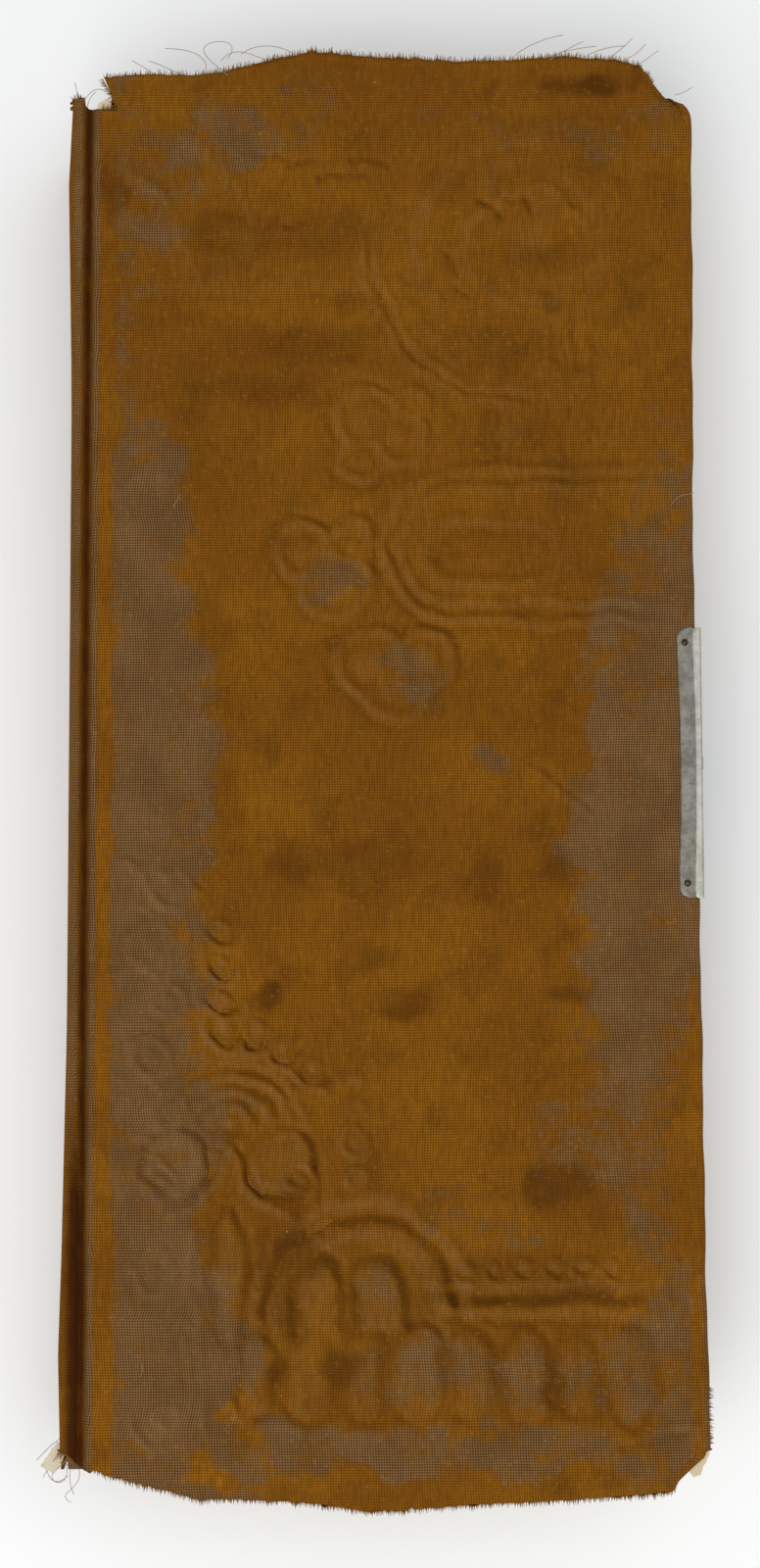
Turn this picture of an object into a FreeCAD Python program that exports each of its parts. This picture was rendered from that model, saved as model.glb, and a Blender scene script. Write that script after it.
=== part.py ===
import FreeCAD, Part
import os
import Sketcher

# Velvet-covered photograph album, closed and lying on its back cover.
# Millimetres. Origin: centre of the back cover's underside. +X points to the fore-edge,
# +Y to the head, +Z up out of the front cover. The spine is on the -X side.

doc = FreeCAD.newDocument("album")

# ---------------------------------------------------------------- driving sizes
SIZES = [
    ("board_width", 178.0, "cover board, hinge edge to fore-edge"),
    ("board_length", 406.0, "cover board, head to tail"),
    ("board_thick", 3.5, "cover board"),
    ("board_corner", 4.0, "radius of the two fore-edge corners"),
    ("relief_thick", 1.5, "pressed relief card under the front velvet"),
    ("velvet_thick", 1.2, "velvet with its pile"),
    ("turn_in_thick", 0.8, "velvet glued down inside, and the joint cloth"),
    ("turn_in_width", 16.0, "how far the velvet turns in"),
    ("paper_thick", 0.3, "pastedown paper"),
    ("paper_border", 4.0, "velvet left showing round the pastedown"),
    ("head_flap", 13.5, "loose velvet standing out past the head edge"),
    ("tail_flap", 9.0, "loose velvet standing out past the tail edge"),
    ("flap_inset", 6.0, "each flap's ends, in from the board's ends"),
    ("flap_corner", 5.0, "radius of a flap's outer corners"),
    ("joint_width", 7.0, "hinge line to the board's edge"),
    ("hinge_depth", 3.0, "hinge line below the cover's outer face"),
    ("joint_gap", 0.3, "clearance each side of a hinge line"),
    ("spine_reach", 3.0, "spine's crown beyond the hinge lines"),
    ("spine_rise", 2.0, "how far the spine is bowed"),
    ("spine_thick", 2.0, "spine board"),
    ("lining_thick", 0.4, "spine lining paper"),
    ("core_thick", 1.2, "middle card of a leaf"),
    ("mat_thick", 1.2, "window mat on each side of a leaf"),
    ("leaf_square", 6.0, "cover board beyond the leaves, on three sides"),
    ("leaf_corner", 6.0, "radius of a leaf's fore-edge corners"),
    ("leaf_gap", 0.2, "air between two leaves"),
    ("cover_gap", 0.3, "air between the block and a cover"),
    ("window_width", 98.0, "picture window in a mat"),
    ("window_length", 146.0, "picture window in a mat"),
    ("window_margin", 23.0, "end of a leaf to the end of a pocket"),
    ("window_shift", 3.0, "windows set towards the fore-edge by this much"),
    ("pocket_depth", 0.5, "recess behind a window that holds a cabinet card"),
    ("pocket_width", 110.0, "that recess, across"),
    ("pocket_length", 167.0, "that recess, along"),
    ("guard_thick", 0.6, "linen guard that hinges a leaf"),
    ("guard_width", 5.6, "linen guard, fold line to leaf"),
    ("guard_gap", 0.4, "fold line to the guard's edge"),
    ("block_inset", 4.0, "leaves' fold line inside the hinge line"),
    ("clasp_shift", 3.0, "middle of the clasp, from mid-length towards the head"),
    ("clasp_length", 80.5, "catch plate, along the fore-edge"),
    ("clasp_width", 7.3, "catch plate, across"),
    ("clasp_overhang", 1.4, "catch plate beyond the velvet edge"),
    ("clasp_thick", 0.8, "sheet metal of the clasp"),
    ("clasp_corner", 3.0, "radius of the catch plate's inner corners"),
    ("clasp_waist", 0.7, "how far the plate's inner edge is hollowed"),
    ("clasp_sink", 0.5, "catch plate pressed into the velvet"),
    ("clasp_lip", 3.3, "height of the catch plate's turned-down lip"),
    ("nail_inset", 4.4, "nails, in from a plate's ends"),
    ("nail_edge", 2.4, "nails, in from a plate's inner edge"),
    ("nail_head", 0.95, "radius of a nail head"),
    ("nail_hole", 1.1, "radius of a plate's nail hole"),
    ("nail_shank", 0.5, "radius of a nail's shank"),
    ("nail_head_high", 0.6, "height of a nail head"),
    ("nail_length", 3.2, "a nail's shank under its head"),
    ("nail_gap", 0.05, "clearance round a nail's shank"),
    ("hasp_length", 66.0, "hasp, along the fore-edge"),
    ("hasp_sink", 0.2, "hasp plate above the back cover's outer face"),
    ("hasp_gap", 0.3, "clearance of the hasp's moving faces"),
    ("knuckle_outer", 1.3, "radius of a hinge knuckle"),
    ("knuckle_bore", 0.75, "radius of the bore in a knuckle"),
    ("knuckle_length", 16.0, "each fixed knuckle"),
    ("pin_gap", 0.05, "clearance of the hinge pin in its knuckles"),
    ("arm_inset", 0.2, "hasp arm's inner face from the knuckle's side"),
    ("tab_width", 3.5, "thumb tab at the top of the hasp"),
    ("tab_high", 2.6, "thumb tab at the top of the hasp"),
    ("tab_reach", 0.7, "thumb tab's stand-off from the arm"),
]
LEAF_COUNT = 10

sheet = doc.addObject("Spreadsheet::Sheet", "Sizes")
for row, (alias, value, meaning) in enumerate(SIZES, start=1):
    sheet.set(f"A{row}", alias)
    sheet.set(f"B{row}", str(value))
    sheet.set(f"C{row}", meaning)
    sheet.setAlias(f"B{row}", alias)
doc.recompute()


def size(text):
    """Turns the sheet's names in an expression into references to its cells."""
    for name in sorted((s[0] for s in SIZES), key=len, reverse=True):
        text = text.replace("$" + name, "Sizes." + name)
    return text


# ---------------------------------------------------------------- levels and lines
# Heights, from the back cover's underside up to the front cover's top.
COVER_LAYERS = "$velvet_thick + $board_thick + $turn_in_thick + $paper_thick"
LEAF_THICK = "($core_thick + 2 * $mat_thick)"
LEAF_PITCH = f"({LEAF_THICK} + $leaf_gap)"
BLOCK_BASE = f"({COVER_LAYERS} + $cover_gap)"
BLOCK_TOP = f"({BLOCK_BASE} + {LEAF_COUNT} * {LEAF_PITCH} - $leaf_gap)"
TOP = f"({BLOCK_TOP} + $cover_gap + {COVER_LAYERS} + $relief_thick)"

# Lines across the book, from the spine to the fore-edge.
HINGE_X = "(-$board_width / 2 - $joint_width)"
BOARD_LEFT = "(-$board_width / 2)"
BOARD_RIGHT = "($board_width / 2)"
VELVET_EDGE = "($board_width / 2 + $velvet_thick)"
FOLD_X = f"({HINGE_X} + $block_inset)"
LEAF_LEFT = f"({FOLD_X} + $guard_gap + $guard_width)"
LEAF_WIDE = f"({BOARD_RIGHT} - $leaf_square - {LEAF_LEFT})"
LEAF_LONG = "($board_length - 2 * $leaf_square)"

# The clasp stands on the fore-edge.
CLASP_LEFT = f"({VELVET_EDGE} + $clasp_overhang - $clasp_width)"
CLASP_RIGHT = f"({VELVET_EDGE} + $clasp_overhang)"
CLASP_BASE = f"({TOP} - $clasp_sink)"
CLASP_TOP = f"({CLASP_BASE} + $clasp_thick)"
LIP_BASE = f"({CLASP_TOP} - $clasp_lip)"
PIN_X = f"({VELVET_EDGE} + $hasp_gap + $knuckle_outer)"
PIN_Z = "($hasp_sink + $knuckle_outer)"


# ---------------------------------------------------------------- makers
def bind(thing, **values):
    """Binds each named property to an expression of the sheet's sizes."""
    for name, text in values.items():
        thing.setExpression(name.replace("__", "."), size(str(text)))
    return thing


def box(name, x, y, z, wide, long, high):
    """A block: its low corner, then its size along X, Y and Z."""
    block = doc.addObject("Part::Box", name)
    return bind(block, Length=wide, Width=long, Height=high,
                Placement__Base__x=x, Placement__Base__y=y, Placement__Base__z=z)


def rod(name, radius, length, x, y, z, axis):
    """A round bar that starts at x, y, z and runs along axis."""
    bar = doc.addObject("Part::Cylinder", name)
    turn = FreeCAD.Rotation(FreeCAD.Vector(0, 0, 1), axis)
    bar.Placement = FreeCAD.Placement(FreeCAD.Vector(0, 0, 0), turn)
    return bind(bar, Radius=radius, Height=length,
                Placement__Base__x=x, Placement__Base__y=y, Placement__Base__z=z)


def fuse(name, *shapes):
    whole = doc.addObject("Part::MultiFuse", name)
    whole.Shapes = list(shapes)
    whole.Refine = True
    return whole


def cut(name, base, *tools):
    """Takes the tools away from the base, fused first when there are several."""
    tool = tools[0] if len(tools) == 1 else fuse(name + "_tools", *tools)
    result = doc.addObject("Part::Cut", name)
    result.Base = base
    result.Tool = tool
    return result


def plate(name, x, y, z, wide, long, high, radii):
    """A card or sheet-metal plate: a padded rectangle with rounded upright corners.
    radii maps a side, "left" or "right", to the expression of its corners' radius."""
    body = doc.addObject("PartDesign::Body", name)
    outline = body.newObject("Sketcher::SketchObject", name + "_outline")
    flat = [f for f in body.Origin.OriginFeatures if f.Role == "XY_Plane"][0]
    outline.AttachmentSupport = [(flat, "")]
    outline.MapMode = "FlatFace"
    corners = [FreeCAD.Vector(*c, 0) for c in ((0, 0), (10, 0), (10, 20), (0, 20))]
    for start, end in zip(corners, corners[1:] + corners[:1]):
        outline.addGeometry(Part.LineSegment(start, end))
    for line in range(4):
        outline.addConstraint(Sketcher.Constraint("Coincident", line, 2, (line + 1) % 4, 1))
        flat_or_upright = "Horizontal" if line % 2 == 0 else "Vertical"
        outline.addConstraint(Sketcher.Constraint(flat_or_upright, line))
    outline.addConstraint(Sketcher.Constraint("Coincident", 0, 1, -1, 1))
    for name_of, line, way in (("wide", 0, "DistanceX"), ("long", 1, "DistanceY")):
        number = outline.addConstraint(Sketcher.Constraint(way, line, 1, line, 2, 10.0))
        outline.renameConstraint(number, name_of)
    bind(outline, Constraints__wide=wide, Constraints__long=long)
    pad = body.newObject("PartDesign::Pad", name + "_pad")
    pad.Profile = outline
    bind(pad, Length=high)
    doc.recompute()
    for side, radius in radii.items():
        base = body.Tip
        limits = base.Shape.BoundBox
        edge_x = limits.XMin if side == "left" else limits.XMax
        upright = [
            f"Edge{number}"
            for number, edge in enumerate(base.Shape.Edges, start=1)
            if edge.BoundBox.ZLength > 0.9 * limits.ZLength and abs(edge.CenterOfMass.x - edge_x) < 1e-6
        ]
        rounding = body.newObject("PartDesign::Fillet", f"{name}_{side}_corners")
        rounding.Base = (base, upright)
        bind(rounding, Radius=radius)
        doc.recompute()
    return bind(body, Placement__Base__x=x, Placement__Base__y=y, Placement__Base__z=z)


def placed(name, shape, z):
    """A copy of a shape, lifted by z."""
    copy = doc.addObject("Part::Compound", name)
    copy.Links = [shape]
    return bind(copy, Placement__Base__z=z)


ALONG_Y = FreeCAD.Vector(0, 1, 0)
UP = FreeCAD.Vector(0, 0, 1)
nodes = []


def node(shape):
    """Marks a finished piece: its label names its file."""
    shape.Label = shape.Name
    nodes.append(shape)
    return shape


# ---------------------------------------------------------------- nails
def nails(name, x, spread, base, way):
    """A pair of nails, one near each end of a plate. base is where the heads start,
    and way is +1 for nails driven upwards, -1 for nails driven down.
    Returns the nails, and the two holes that take their shanks."""
    pieces, holes = [], []
    for end, sign in (("tail", "-"), ("head", "+")):
        y = f"$clasp_shift + ({sign}1) * ({spread})"
        head_z = base if way > 0 else f"{base} - $nail_head_high"
        under = f"{base} + $nail_head_high" if way > 0 else f"{base} - $nail_head_high - $nail_length"
        head = rod(f"{name}_{end}_disc", "$nail_head", "$nail_head_high", x, y, head_z, UP)
        shank = rod(f"{name}_{end}_shank", "$nail_shank", "$nail_length", x, y, under, UP)
        pieces.append(fuse(f"{name}_{end}", head, shank))
        holes.append(rod(f"{name}_{end}_bore", "$nail_shank + $nail_gap", "$nail_length",
                         x, y, under, UP))
    pair = doc.addObject("Part::Compound", name)
    pair.Links = pieces
    return node(pair), holes


def nail_openings(name, x, spread, z):
    """The two round holes through a plate that let the nail heads in."""
    return [
        rod(f"{name}_{end}", "$nail_hole", "3 * $clasp_thick", x,
            f"$clasp_shift + ({sign}1) * ({spread})", f"{z} - $clasp_thick", UP)
        for end, sign in (("tail", "-"), ("head", "+"))
    ]


# ---------------------------------------------------------------- the two covers
def cover(name, outer, way, relief, fittings, nail_bores, flaps):
    """One cover: board, velvet, joint cloth and pastedown. outer is the height of its
    outer face and way the direction from there into the book, +1 up or -1 down.
    relief is the thickness of the card between board and velvet, fittings are the
    spaces that metal plates take in the velvet, and nail_bores the nails' holes."""

    def layer(label, depth, thick, x, y, wide, long):
        start = f"{outer} + ({depth})" if way > 0 else f"{outer} - ({depth}) - ({thick})"
        return label, x, y, start, wide, long, thick

    board_depth = f"$velvet_thick + {relief}"
    inside = f"{board_depth} + $board_thick"
    round_fore = {"right": "$board_corner"}
    across = (BOARD_LEFT, "-$board_length / 2", "$board_width", "$board_length")

    blank = plate(*layer(f"{name}_board_blank", board_depth, "$board_thick", *across), round_fore)
    node(cut(f"{name}_board", blank, *nail_bores))
    filling = [blank]
    if relief != "0":
        card = plate(*layer("relief_card_blank", "$velvet_thick", relief, *across), round_fore)
        filling.append(card)
        node(cut("relief_underlay", card, *nail_bores))

    # Velvet: wraps the head, tail and fore-edge, and crosses the joint to the hinge line.
    wrap = plate(*layer(f"{name}_wrap", "0", f"{inside} + $turn_in_thick", BOARD_LEFT,
                        "-$board_length / 2 - $velvet_thick", "$board_width + $velvet_thick",
                        "$board_length + 2 * $velvet_thick"),
                 {"right": "$board_corner + $velvet_thick"})
    strip_depth = "$hinge_depth - ($velvet_thick + $turn_in_thick) / 2"
    shoulder = box(*layer(f"{name}_shoulder", "0", f"{strip_depth} + $velvet_thick",
                          f"{BOARD_LEFT} - $velvet_thick", "-$board_length / 2 - $velvet_thick",
                          "$velvet_thick", "$board_length + 2 * $velvet_thick"))
    strip = box(*layer(f"{name}_strip", strip_depth, "$velvet_thick", f"{HINGE_X} + $joint_gap",
                       "-$board_length / 2 - $velvet_thick",
                       "$joint_width - $joint_gap - $velvet_thick",
                       "$board_length + 2 * $velvet_thick"))
    pieces = [wrap, shoulder, strip]
    for end, y, reach in flaps:
        left, right = f"{BOARD_LEFT} + $flap_inset", "$board_width - 2 * $flap_inset"
        flap = box(*layer(f"{name}_{end}_flap", "0", "$velvet_thick", left, y, right, reach))
        pieces.append(flap)
    opening = box(*layer(f"{name}_turn_in_window", inside, "$turn_in_thick", BOARD_LEFT,
                         "-$board_length / 2 + $turn_in_width", "$board_width - $turn_in_width",
                         "$board_length - 2 * $turn_in_width"))
    cloth_bed = box(*layer(f"{name}_cloth_bed", inside, "$turn_in_thick", BOARD_LEFT,
                           "-$board_length / 2 - $velvet_thick", "$turn_in_width",
                           "$board_length + 2 * $velvet_thick"))
    node(cut(f"{name}_velvet", fuse(f"{name}_velvet_blank", *pieces), *filling, opening,
             cloth_bed, *fittings, *nail_bores))

    # Joint cloth: from the hinge line, up the board's edge and on to its inner face.
    run = ("-$board_length / 2", "$board_length")
    flat = box(*layer(f"{name}_cloth_flat", f"{strip_depth} + $velvet_thick", "$turn_in_thick",
                      f"{HINGE_X} + $joint_gap", run[0], "$joint_width - $joint_gap", run[1]))
    riser = box(*layer(f"{name}_cloth_riser", f"{strip_depth} + $velvet_thick",
                       f"{inside} + $turn_in_thick - ({strip_depth} + $velvet_thick)",
                       f"{BOARD_LEFT} - $turn_in_thick", run[0], "$turn_in_thick", run[1]))
    tongue = box(*layer(f"{name}_cloth_tongue", inside, "$turn_in_thick",
                        BOARD_LEFT, run[0], "$turn_in_width", run[1]))
    node(fuse(f"{name}_joint_cloth", flat, riser, tongue))

    # Pastedown: fills the window between cloth and turn-ins, and laps over them.
    fill = box(*layer(f"{name}_paper_fill", inside, "$turn_in_thick",
                      f"{BOARD_LEFT} + $turn_in_width", "-$board_length / 2 + $turn_in_width",
                      "$board_width - 2 * $turn_in_width",
                      "$board_length - 2 * $turn_in_width"))
    lap = box(*layer(f"{name}_paper_lap", f"{inside} + $turn_in_thick", "$paper_thick",
                     f"{BOARD_LEFT} + $paper_border", "-$board_length / 2 + $paper_border",
                     "$board_width - 2 * $paper_border", "$board_length - 2 * $paper_border"))
    node(fuse(f"{name}_pastedown", fill, lap))


catch_spread = "$clasp_length / 2 - $nail_inset"
catch_nail_x = f"{CLASP_LEFT} + $nail_edge"
_, catch_bores = nails("catch_plate_nails", catch_nail_x, catch_spread,
                       f"({CLASP_BASE} + $nail_head_high)", -1)
catch_bed = box("catch_bed", CLASP_LEFT, "$clasp_shift - $clasp_length / 2", CLASP_BASE,
                "$clasp_width", "$clasp_length", "$clasp_sink")
loose = [
    ("head", "$board_length / 2 + $velvet_thick", "$head_flap"),
    ("tail", "-$board_length / 2 - $velvet_thick - $tail_flap", "$tail_flap"),
]
cover("front", TOP, -1, "$relief_thick", [catch_bed], catch_bores, loose)

hasp_spread = "$hasp_length / 2 - $nail_inset"
_, hasp_bores = nails("hasp_plate_nails", catch_nail_x, hasp_spread,
                      "$hasp_sink + $clasp_thick - $nail_head_high", 1)
hasp_bed = box("hasp_bed", CLASP_LEFT, "$clasp_shift - $hasp_length / 2", "0",
               f"{VELVET_EDGE} - {CLASP_LEFT}", "$hasp_length", "$hasp_sink + $clasp_thick")
cover("back", "0", 1, "0", [hasp_bed], hasp_bores, [])

# ---------------------------------------------------------------- spine
# Three bowed layers about one centre. The bow's chord spans the spine's free height.
STRIP_HALF = "(($velvet_thick + $turn_in_thick) / 2)"
SPINE_BASE = f"($hinge_depth + {STRIP_HALF} + $joint_gap)"
SPINE_HIGH = f"({TOP} - 2 * {SPINE_BASE})"
SPINE_BOW = f"(({SPINE_HIGH} * {SPINE_HIGH} / 4 + $spine_rise * $spine_rise) / (2 * $spine_rise))"
SPINE_CENTRE = f"({HINGE_X} - $spine_reach + {SPINE_BOW})"


def bowed(name, depth, thick, length):
    """A layer of the spine: depth under its outer face, and centred along the book."""
    start = f"-({length}) / 2"
    outer = rod(name + "_outer", f"{SPINE_BOW} - ({depth})", length,
                SPINE_CENTRE, start, f"{TOP} / 2", ALONG_Y)
    inner = rod(name + "_inner", f"{SPINE_BOW} - ({depth}) - ({thick})", length,
                SPINE_CENTRE, start, f"{TOP} / 2", ALONG_Y)
    ring = cut(name + "_ring", outer, inner)
    slab = box(name + "_slab", f"{HINGE_X} - $spine_reach", start, SPINE_BASE,
               "2 * ($spine_reach + $spine_rise)", length, SPINE_HIGH)
    layer = doc.addObject("Part::Common", name)
    layer.Base = ring
    layer.Tool = slab
    return layer


node(bowed("spine_board", "$velvet_thick", "$spine_thick", "$board_length"))
node(bowed("spine_lining", "$velvet_thick + $spine_thick", "$lining_thick", "$board_length"))
spine_skin = bowed("spine_skin", "0", "$velvet_thick", "$board_length + 2 * $velvet_thick")
caps = []
for end, y in (("tail", "-$board_length / 2 - $velvet_thick"), ("head", "$board_length / 2")):
    cap = bowed(f"spine_{end}_cap", "$velvet_thick", "$spine_thick", "$velvet_thick")
    for rod_name in (f"spine_{end}_cap_outer", f"spine_{end}_cap_inner", f"spine_{end}_cap_slab"):
        bind(doc.getObject(rod_name), Placement__Base__y=y)
    caps.append(cap)
node(fuse("spine_velvet", spine_skin, *caps))

# ---------------------------------------------------------------- leaves
# One pattern of each card, made at the height of the lowest leaf and then lifted.
across_leaf = (LEAF_LEFT, f"-{LEAF_LONG} / 2")
leaf_size = (LEAF_WIDE, LEAF_LONG)
round_leaf = {"right": "$leaf_corner"}
core_pattern = plate("core_pattern", *across_leaf, f"{BLOCK_BASE} + $mat_thick",
                     *leaf_size, "$core_thick", round_leaf)


def mat_pattern(name, base, pocket_base):
    """A window mat: two windows right through, each with a shallow pocket behind it."""
    card = plate(name + "_card", *across_leaf, base, *leaf_size, "$mat_thick", round_leaf)
    tools = []
    middle_x = f"{LEAF_LEFT} + {LEAF_WIDE} / 2 + $window_shift"
    for end, sign in (("tail", "-"), ("head", "+")):
        middle_y = f"({sign}1) * ({LEAF_LONG} / 2 - $window_margin - $pocket_length / 2)"
        for kind, floor, depth in (("window", base, "$mat_thick"),
                                   ("pocket", pocket_base, "$pocket_depth")):
            wide, long = f"${kind}_width", f"${kind}_length"
            tools.append(box(f"{name}_{end}_{kind}", f"{middle_x} - {wide} / 2",
                             f"{middle_y} - {long} / 2", floor, wide, long, depth))
    return cut(name, card, *tools)


verso_base = BLOCK_BASE
recto_base = f"{BLOCK_BASE} + $mat_thick + $core_thick"
verso_pattern = mat_pattern("verso_pattern", verso_base,
                            f"{verso_base} + $mat_thick - $pocket_depth")
recto_pattern = mat_pattern("recto_pattern", recto_base, recto_base)
guard_pattern = box("guard_pattern", f"{FOLD_X} + $guard_gap", f"-{LEAF_LONG} / 2",
                    f"{BLOCK_BASE} + ({LEAF_THICK} - $guard_thick) / 2",
                    "$guard_width", LEAF_LONG, "$guard_thick")

for number in range(1, LEAF_COUNT + 1):
    lift = f"{LEAF_COUNT - number} * {LEAF_PITCH}"
    for part_name, pattern in (("core", core_pattern), ("recto_mat", recto_pattern),
                               ("verso_mat", verso_pattern), ("guard", guard_pattern)):
        node(placed(f"leaf_{number:02d}_{part_name}", pattern, lift))

# ---------------------------------------------------------------- clasp
# Catch plate: a flat strip with a turned-down lip, and a hollowed inner edge.
catch_flat = plate("catch_flat", CLASP_LEFT, "$clasp_shift - $clasp_length / 2", CLASP_BASE,
                   "$clasp_width", "$clasp_length", "$clasp_thick", {"left": "$clasp_corner"})
catch_lip = box("catch_lip", f"{CLASP_RIGHT} - $clasp_thick", "$clasp_shift - $clasp_length / 2",
                LIP_BASE, "$clasp_thick", "$clasp_length", "$clasp_lip")
HOLLOW_CHORD = "($clasp_length - 4 * $nail_inset)"
HOLLOW_BOW = f"(({HOLLOW_CHORD} * {HOLLOW_CHORD} / 4 + $clasp_waist^2) / (2 * $clasp_waist))"
hollow = rod("catch_hollow", HOLLOW_BOW, "3 * $clasp_thick",
             f"{CLASP_LEFT} + $clasp_waist - {HOLLOW_BOW}", "$clasp_shift",
             f"{CLASP_BASE} - $clasp_thick", UP)
node(cut("catch_plate", fuse("catch_blank", catch_flat, catch_lip), hollow,
         *nail_openings("catch_opening", catch_nail_x, catch_spread, CLASP_BASE)))

# Hasp plate: nailed to the back cover, with a knuckle at each end for the hinge pin.
PIN_BORE = "$knuckle_bore + $pin_gap"
HASP_TAIL = "($clasp_shift - $hasp_length / 2)"
HASP_HEAD = "($clasp_shift + $hasp_length / 2)"
hasp_leg = box("hasp_leg", CLASP_LEFT, HASP_TAIL, "$hasp_sink",
               f"{VELVET_EDGE} - {CLASP_LEFT}", "$hasp_length", "$clasp_thick")
hasp_parts = [hasp_leg]
for end, y in (("tail", HASP_TAIL), ("head", f"{HASP_HEAD} - $knuckle_length")):
    hasp_parts.append(box(f"hasp_{end}_bridge", VELVET_EDGE, y, "$hasp_sink",
                          f"{PIN_X} - {VELVET_EDGE}", "$knuckle_length", "$clasp_thick"))
    hasp_parts.append(rod(f"hasp_{end}_knuckle", "$knuckle_outer", "$knuckle_length",
                          PIN_X, y, PIN_Z, ALONG_Y))
plate_bore = rod("hasp_plate_bore", PIN_BORE, "$hasp_length",
                 PIN_X, HASP_TAIL, PIN_Z, ALONG_Y)
node(cut("hasp_plate", fuse("hasp_plate_blank", *hasp_parts), plate_bore,
         *nail_openings("hasp_opening", catch_nail_x, hasp_spread, "$hasp_sink")))
node(rod("hasp_pin", "$knuckle_bore", "$hasp_length", PIN_X, HASP_TAIL, PIN_Z, ALONG_Y))

# Hasp arm: its own knuckle, a neck, the broad plate that shuts the fore-edge, a thumb tab.
ARM_LEFT = f"({PIN_X} - $knuckle_outer + $arm_inset)"
ARM_TOP = f"({LIP_BASE} - $hasp_gap)"
NECK_LONG = "($hasp_length - 2 * $knuckle_length - 2 * $hasp_gap)"
BROAD_BASE = f"({PIN_Z} + $knuckle_outer + $hasp_gap)"
NECK_TAIL = f"($clasp_shift - {NECK_LONG} / 2)"
arm_knuckle = rod("arm_knuckle", "$knuckle_outer", NECK_LONG,
                  PIN_X, NECK_TAIL, PIN_Z, ALONG_Y)
arm_neck = box("arm_neck", ARM_LEFT, NECK_TAIL, PIN_Z,
               "$clasp_thick", NECK_LONG, f"{BROAD_BASE} - {PIN_Z}")
arm_broad = box("arm_broad", ARM_LEFT, HASP_TAIL, BROAD_BASE,
                "$clasp_thick", "$hasp_length", f"{ARM_TOP} - {BROAD_BASE}")
arm_tab = box("arm_tab", f"{ARM_LEFT} + $clasp_thick", "$clasp_shift - $tab_width / 2",
              f"{ARM_TOP} - $tab_high", "$tab_reach", "$tab_width", "$tab_high")
arm_bore = rod("arm_bore", PIN_BORE, NECK_LONG, PIN_X, NECK_TAIL, PIN_Z, ALONG_Y)
node(cut("hasp_arm", fuse("arm_blank", arm_knuckle, arm_neck, arm_broad, arm_tab), arm_bore))

# ---------------------------------------------------------------- checks and export
doc.recompute()
for thing in doc.Objects:
    if {"Invalid", "Error"} & set(thing.State):
        raise RuntimeError(f"{thing.Name} did not build: {thing.State}")
for piece in nodes:
    if piece.Shape.isNull() or not piece.Shape.isValid() or not piece.Shape.Solids:
        raise RuntimeError(f"{piece.Label} has no valid solid")

os.makedirs("parts", exist_ok=True)
for piece in nodes:
    piece.Shape.exportStep(f"parts/{piece.Label}.step")
print(len(nodes), "pieces")
for axis, expression in (("hinge x", HINGE_X), ("top", TOP), ("fold x", FOLD_X),
                         ("block base", BLOCK_BASE), ("block top", BLOCK_TOP),
                         ("pin x", PIN_X), ("pin z", PIN_Z)):
    print(axis, sheet.evalExpression(size(expression).replace("Sizes.", "")))
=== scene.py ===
import math

import bmesh
import bpy
import numpy as np
from mathutils import Matrix, Vector


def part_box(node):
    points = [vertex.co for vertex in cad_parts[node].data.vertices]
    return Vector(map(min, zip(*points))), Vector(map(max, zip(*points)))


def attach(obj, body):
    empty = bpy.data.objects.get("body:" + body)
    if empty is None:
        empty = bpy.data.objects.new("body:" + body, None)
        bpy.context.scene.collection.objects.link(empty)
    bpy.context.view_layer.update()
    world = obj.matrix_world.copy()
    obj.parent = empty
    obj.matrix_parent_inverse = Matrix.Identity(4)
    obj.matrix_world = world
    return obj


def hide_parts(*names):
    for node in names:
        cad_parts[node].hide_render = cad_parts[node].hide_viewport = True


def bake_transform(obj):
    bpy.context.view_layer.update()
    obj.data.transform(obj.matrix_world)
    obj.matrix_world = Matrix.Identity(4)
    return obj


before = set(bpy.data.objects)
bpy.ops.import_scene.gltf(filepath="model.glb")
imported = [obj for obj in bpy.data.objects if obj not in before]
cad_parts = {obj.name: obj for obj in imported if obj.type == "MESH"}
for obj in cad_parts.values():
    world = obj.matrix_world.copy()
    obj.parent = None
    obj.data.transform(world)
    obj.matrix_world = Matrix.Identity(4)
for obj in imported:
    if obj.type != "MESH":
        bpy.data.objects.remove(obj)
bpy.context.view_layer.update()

# ------------------------------------------------------------------ table, light and camera
# A pale table top under a large soft lamp near the tail of the book, a weaker one at the
# head, and an even pale surround. The camera looks down from above, a little to the tail.
scene = bpy.context.scene
scene.view_settings.view_transform = "Standard"
scene.view_settings.look = "None"

table_half, table_level = 3.0, -0.0004
table_mesh = bpy.data.meshes.new("table_top")
table_mesh.from_pydata(
    [(x * table_half, y * table_half, table_level) for x, y in ((-1, -1), (1, -1), (1, 1), (-1, 1))],
    [], [(0, 1, 2, 3)])
table_top = bpy.data.objects.new("table_top", table_mesh)
scene.collection.objects.link(table_top)
table_finish = bpy.data.materials.new("table_paint")
table_finish.use_nodes = True
paint = table_finish.node_tree.nodes["Principled BSDF"]
paint.inputs["Base Color"].default_value = (0.86, 0.865, 0.86, 1)
paint.inputs["Roughness"].default_value = 0.75
table_mesh.materials.append(table_finish)


def soft_lamp(name, place, aim, size, power, tint):
    """A square studio lamp, turned towards the point it lights."""
    data = bpy.data.lights.new(name, "AREA")
    data.shape, data.size, data.energy, data.color = "SQUARE", size, power, tint
    lamp = bpy.data.objects.new(name, data)
    lamp.location = place
    lamp.rotation_euler = (Vector(aim) - Vector(place)).to_track_quat("-Z", "Y").to_euler()
    scene.collection.objects.link(lamp)


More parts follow.
